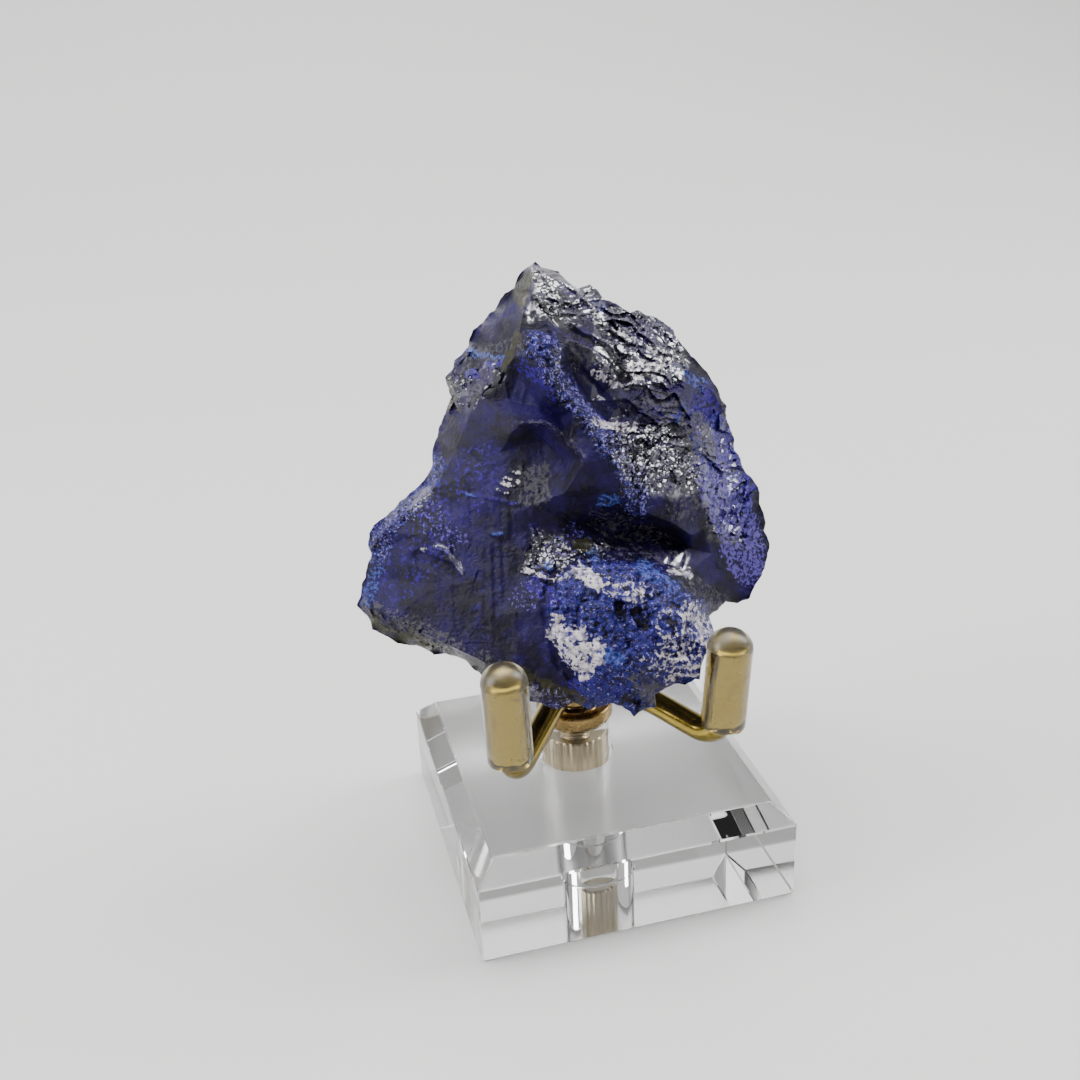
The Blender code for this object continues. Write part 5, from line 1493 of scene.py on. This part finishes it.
class AZURITE_OT_stone(bpy.types.Operator):
    """Make the azurite specimen's fine surface"""
    bl_idname = "azurite.stone"
    bl_label = "Azurite specimen"

    def execute(self, context):
        stone = context.scene.azurite_stone
        names = [name for name in StoneSettings.__annotations__ if not name.endswith("_grain")]
        skin = stone_material({name: tuple(getattr(stone, name)) for name in names})
        build_stone(skin, stone.front_grain / MM, stone.back_grain / MM, stone.rim_grain / MM)
        return {"FINISHED"}


def add_soft_light(name, place, width, height, power):
    """Add one rectangular soft light aimed at the specimen."""
    deselect()
    aim = (Vector(STONE_MIDDLE) - Vector(place)).to_track_quat("-Z", "Y").to_euler()
    bpy.ops.object.light_add(type="AREA", location=place, rotation=aim)
    light = bpy.context.active_object
    light.name = name
    light.data.shape = "RECTANGLE"
    light.data.size = width
    light.data.size_y = height
    light.data.energy = power


class AZURITE_OT_stage(bpy.types.Operator):
    """Lay the floor and backdrop and set the lights and the camera"""
    bl_idname = "azurite.stage"
    bl_label = "Stage"

    def execute(self, context):
        stage = context.scene.azurite_stage
        deselect()
        bpy.ops.mesh.primitive_plane_add(size=FLOOR_SIDE, location=(0.0, 0.0, FLOOR_LEVEL))
        floor = start_piece("pale_floor")
        pick(floor, "edges", lambda e: min(v.co.y for v in e.verts) > 0.0)
        bpy.ops.transform.translate(value=(0.0, SWEEP_START - FLOOR_SIDE / 2.0, 0.0))
        centre = (0.0, SWEEP_START, FLOOR_LEVEL + SWEEP_RADIUS)
        bpy.ops.mesh.spin(steps=SWEEP_STEPS, angle=SWEEP_ANGLE, center=centre, axis=(1.0, 0.0, 0.0))
        bpy.ops.mesh.extrude_region_move(TRANSFORM_OT_translate={"value": (0.0, WALL_LEAN, WALL_HEIGHT)})
        bpy.ops.mesh.select_all(action="SELECT")
        bpy.ops.mesh.normals_make_consistent(inside=False)
        bpy.ops.object.mode_set(mode="OBJECT")
        bpy.ops.object.transform_apply(location=True, rotation=True, scale=True)
        bpy.ops.object.shade_smooth()
        made, shader, _, _ = new_material("pale floor")
        shader.inputs["Base Color"].default_value = stage.floor
        shader.inputs["Roughness"].default_value = FLOOR_ROUGHNESS
        floor.data.materials.append(made)
        for name, (place, width, height, power) in LIGHTS.items():
            add_soft_light(name, place, width, height, getattr(stage, power))
        world = bpy.data.worlds.new("studio")
        world.use_nodes = True
        background = world.node_tree.nodes["Background"]
        background.inputs["Color"].default_value = (1.0, 1.0, 1.0, 1.0)
        background.inputs["Strength"].default_value = stage.room
        context.scene.world = world
        deselect()
        bpy.ops.object.camera_add(location=CAMERA_PLACE)
        camera = bpy.context.active_object
        right, up = Vector(CAMERA_RIGHT), Vector(CAMERA_UP)
        turn = Matrix((right, up, right.cross(up))).transposed()
        camera.rotation_euler = turn.to_euler()
        camera.data.lens = CAMERA_LENS
        camera.data.sensor_width = CAMERA_SENSOR
        context.scene.camera = camera
        return {"FINISHED"}


class AZURITE_PT_panel(bpy.types.Panel):
    """Sidebar panel for the azurite display piece"""
    bl_idname = "AZURITE_PT_panel"
    bl_label = "Azurite"
    bl_space_type = "VIEW_3D"
    bl_region_type = "UI"
    bl_category = "Azurite"

    def draw(self, context):
        scene = context.scene
        for settings in (scene.azurite_stone, scene.azurite_stand, scene.azurite_stage):
            box = self.layout.box()
            for name in settings.__annotations__:
                box.prop(settings, name)
        for operator in OPERATORS:
            self.layout.operator(operator.bl_idname)


OPERATORS = (AZURITE_OT_block, AZURITE_OT_stud, AZURITE_OT_arms, AZURITE_OT_stone, AZURITE_OT_stage)
CLASSES = (StoneSettings, StandSettings, StageSettings) + OPERATORS + (AZURITE_PT_panel,)


def register():
    """Register the classes and hang the settings on the scene."""
    for made in CLASSES:
        bpy.utils.register_class(made)
    bpy.types.Scene.azurite_stone = bpy.props.PointerProperty(type=StoneSettings)
    bpy.types.Scene.azurite_stand = bpy.props.PointerProperty(type=StandSettings)
    bpy.types.Scene.azurite_stage = bpy.props.PointerProperty(type=StageSettings)


def unregister():
    """Take the settings and the classes away again."""
    del bpy.types.Scene.azurite_stage
    del bpy.types.Scene.azurite_stand
    del bpy.types.Scene.azurite_stone
    for made in reversed(CLASSES):
        bpy.utils.unregister_class(made)


def main():
    """Build every piece and the stage."""
    register()
    bpy.ops.azurite.block()
    bpy.ops.azurite.stud()
    bpy.ops.azurite.arms()
    bpy.ops.azurite.stone()
    bpy.ops.azurite.stage()


if __name__ == "__main__":
    main()
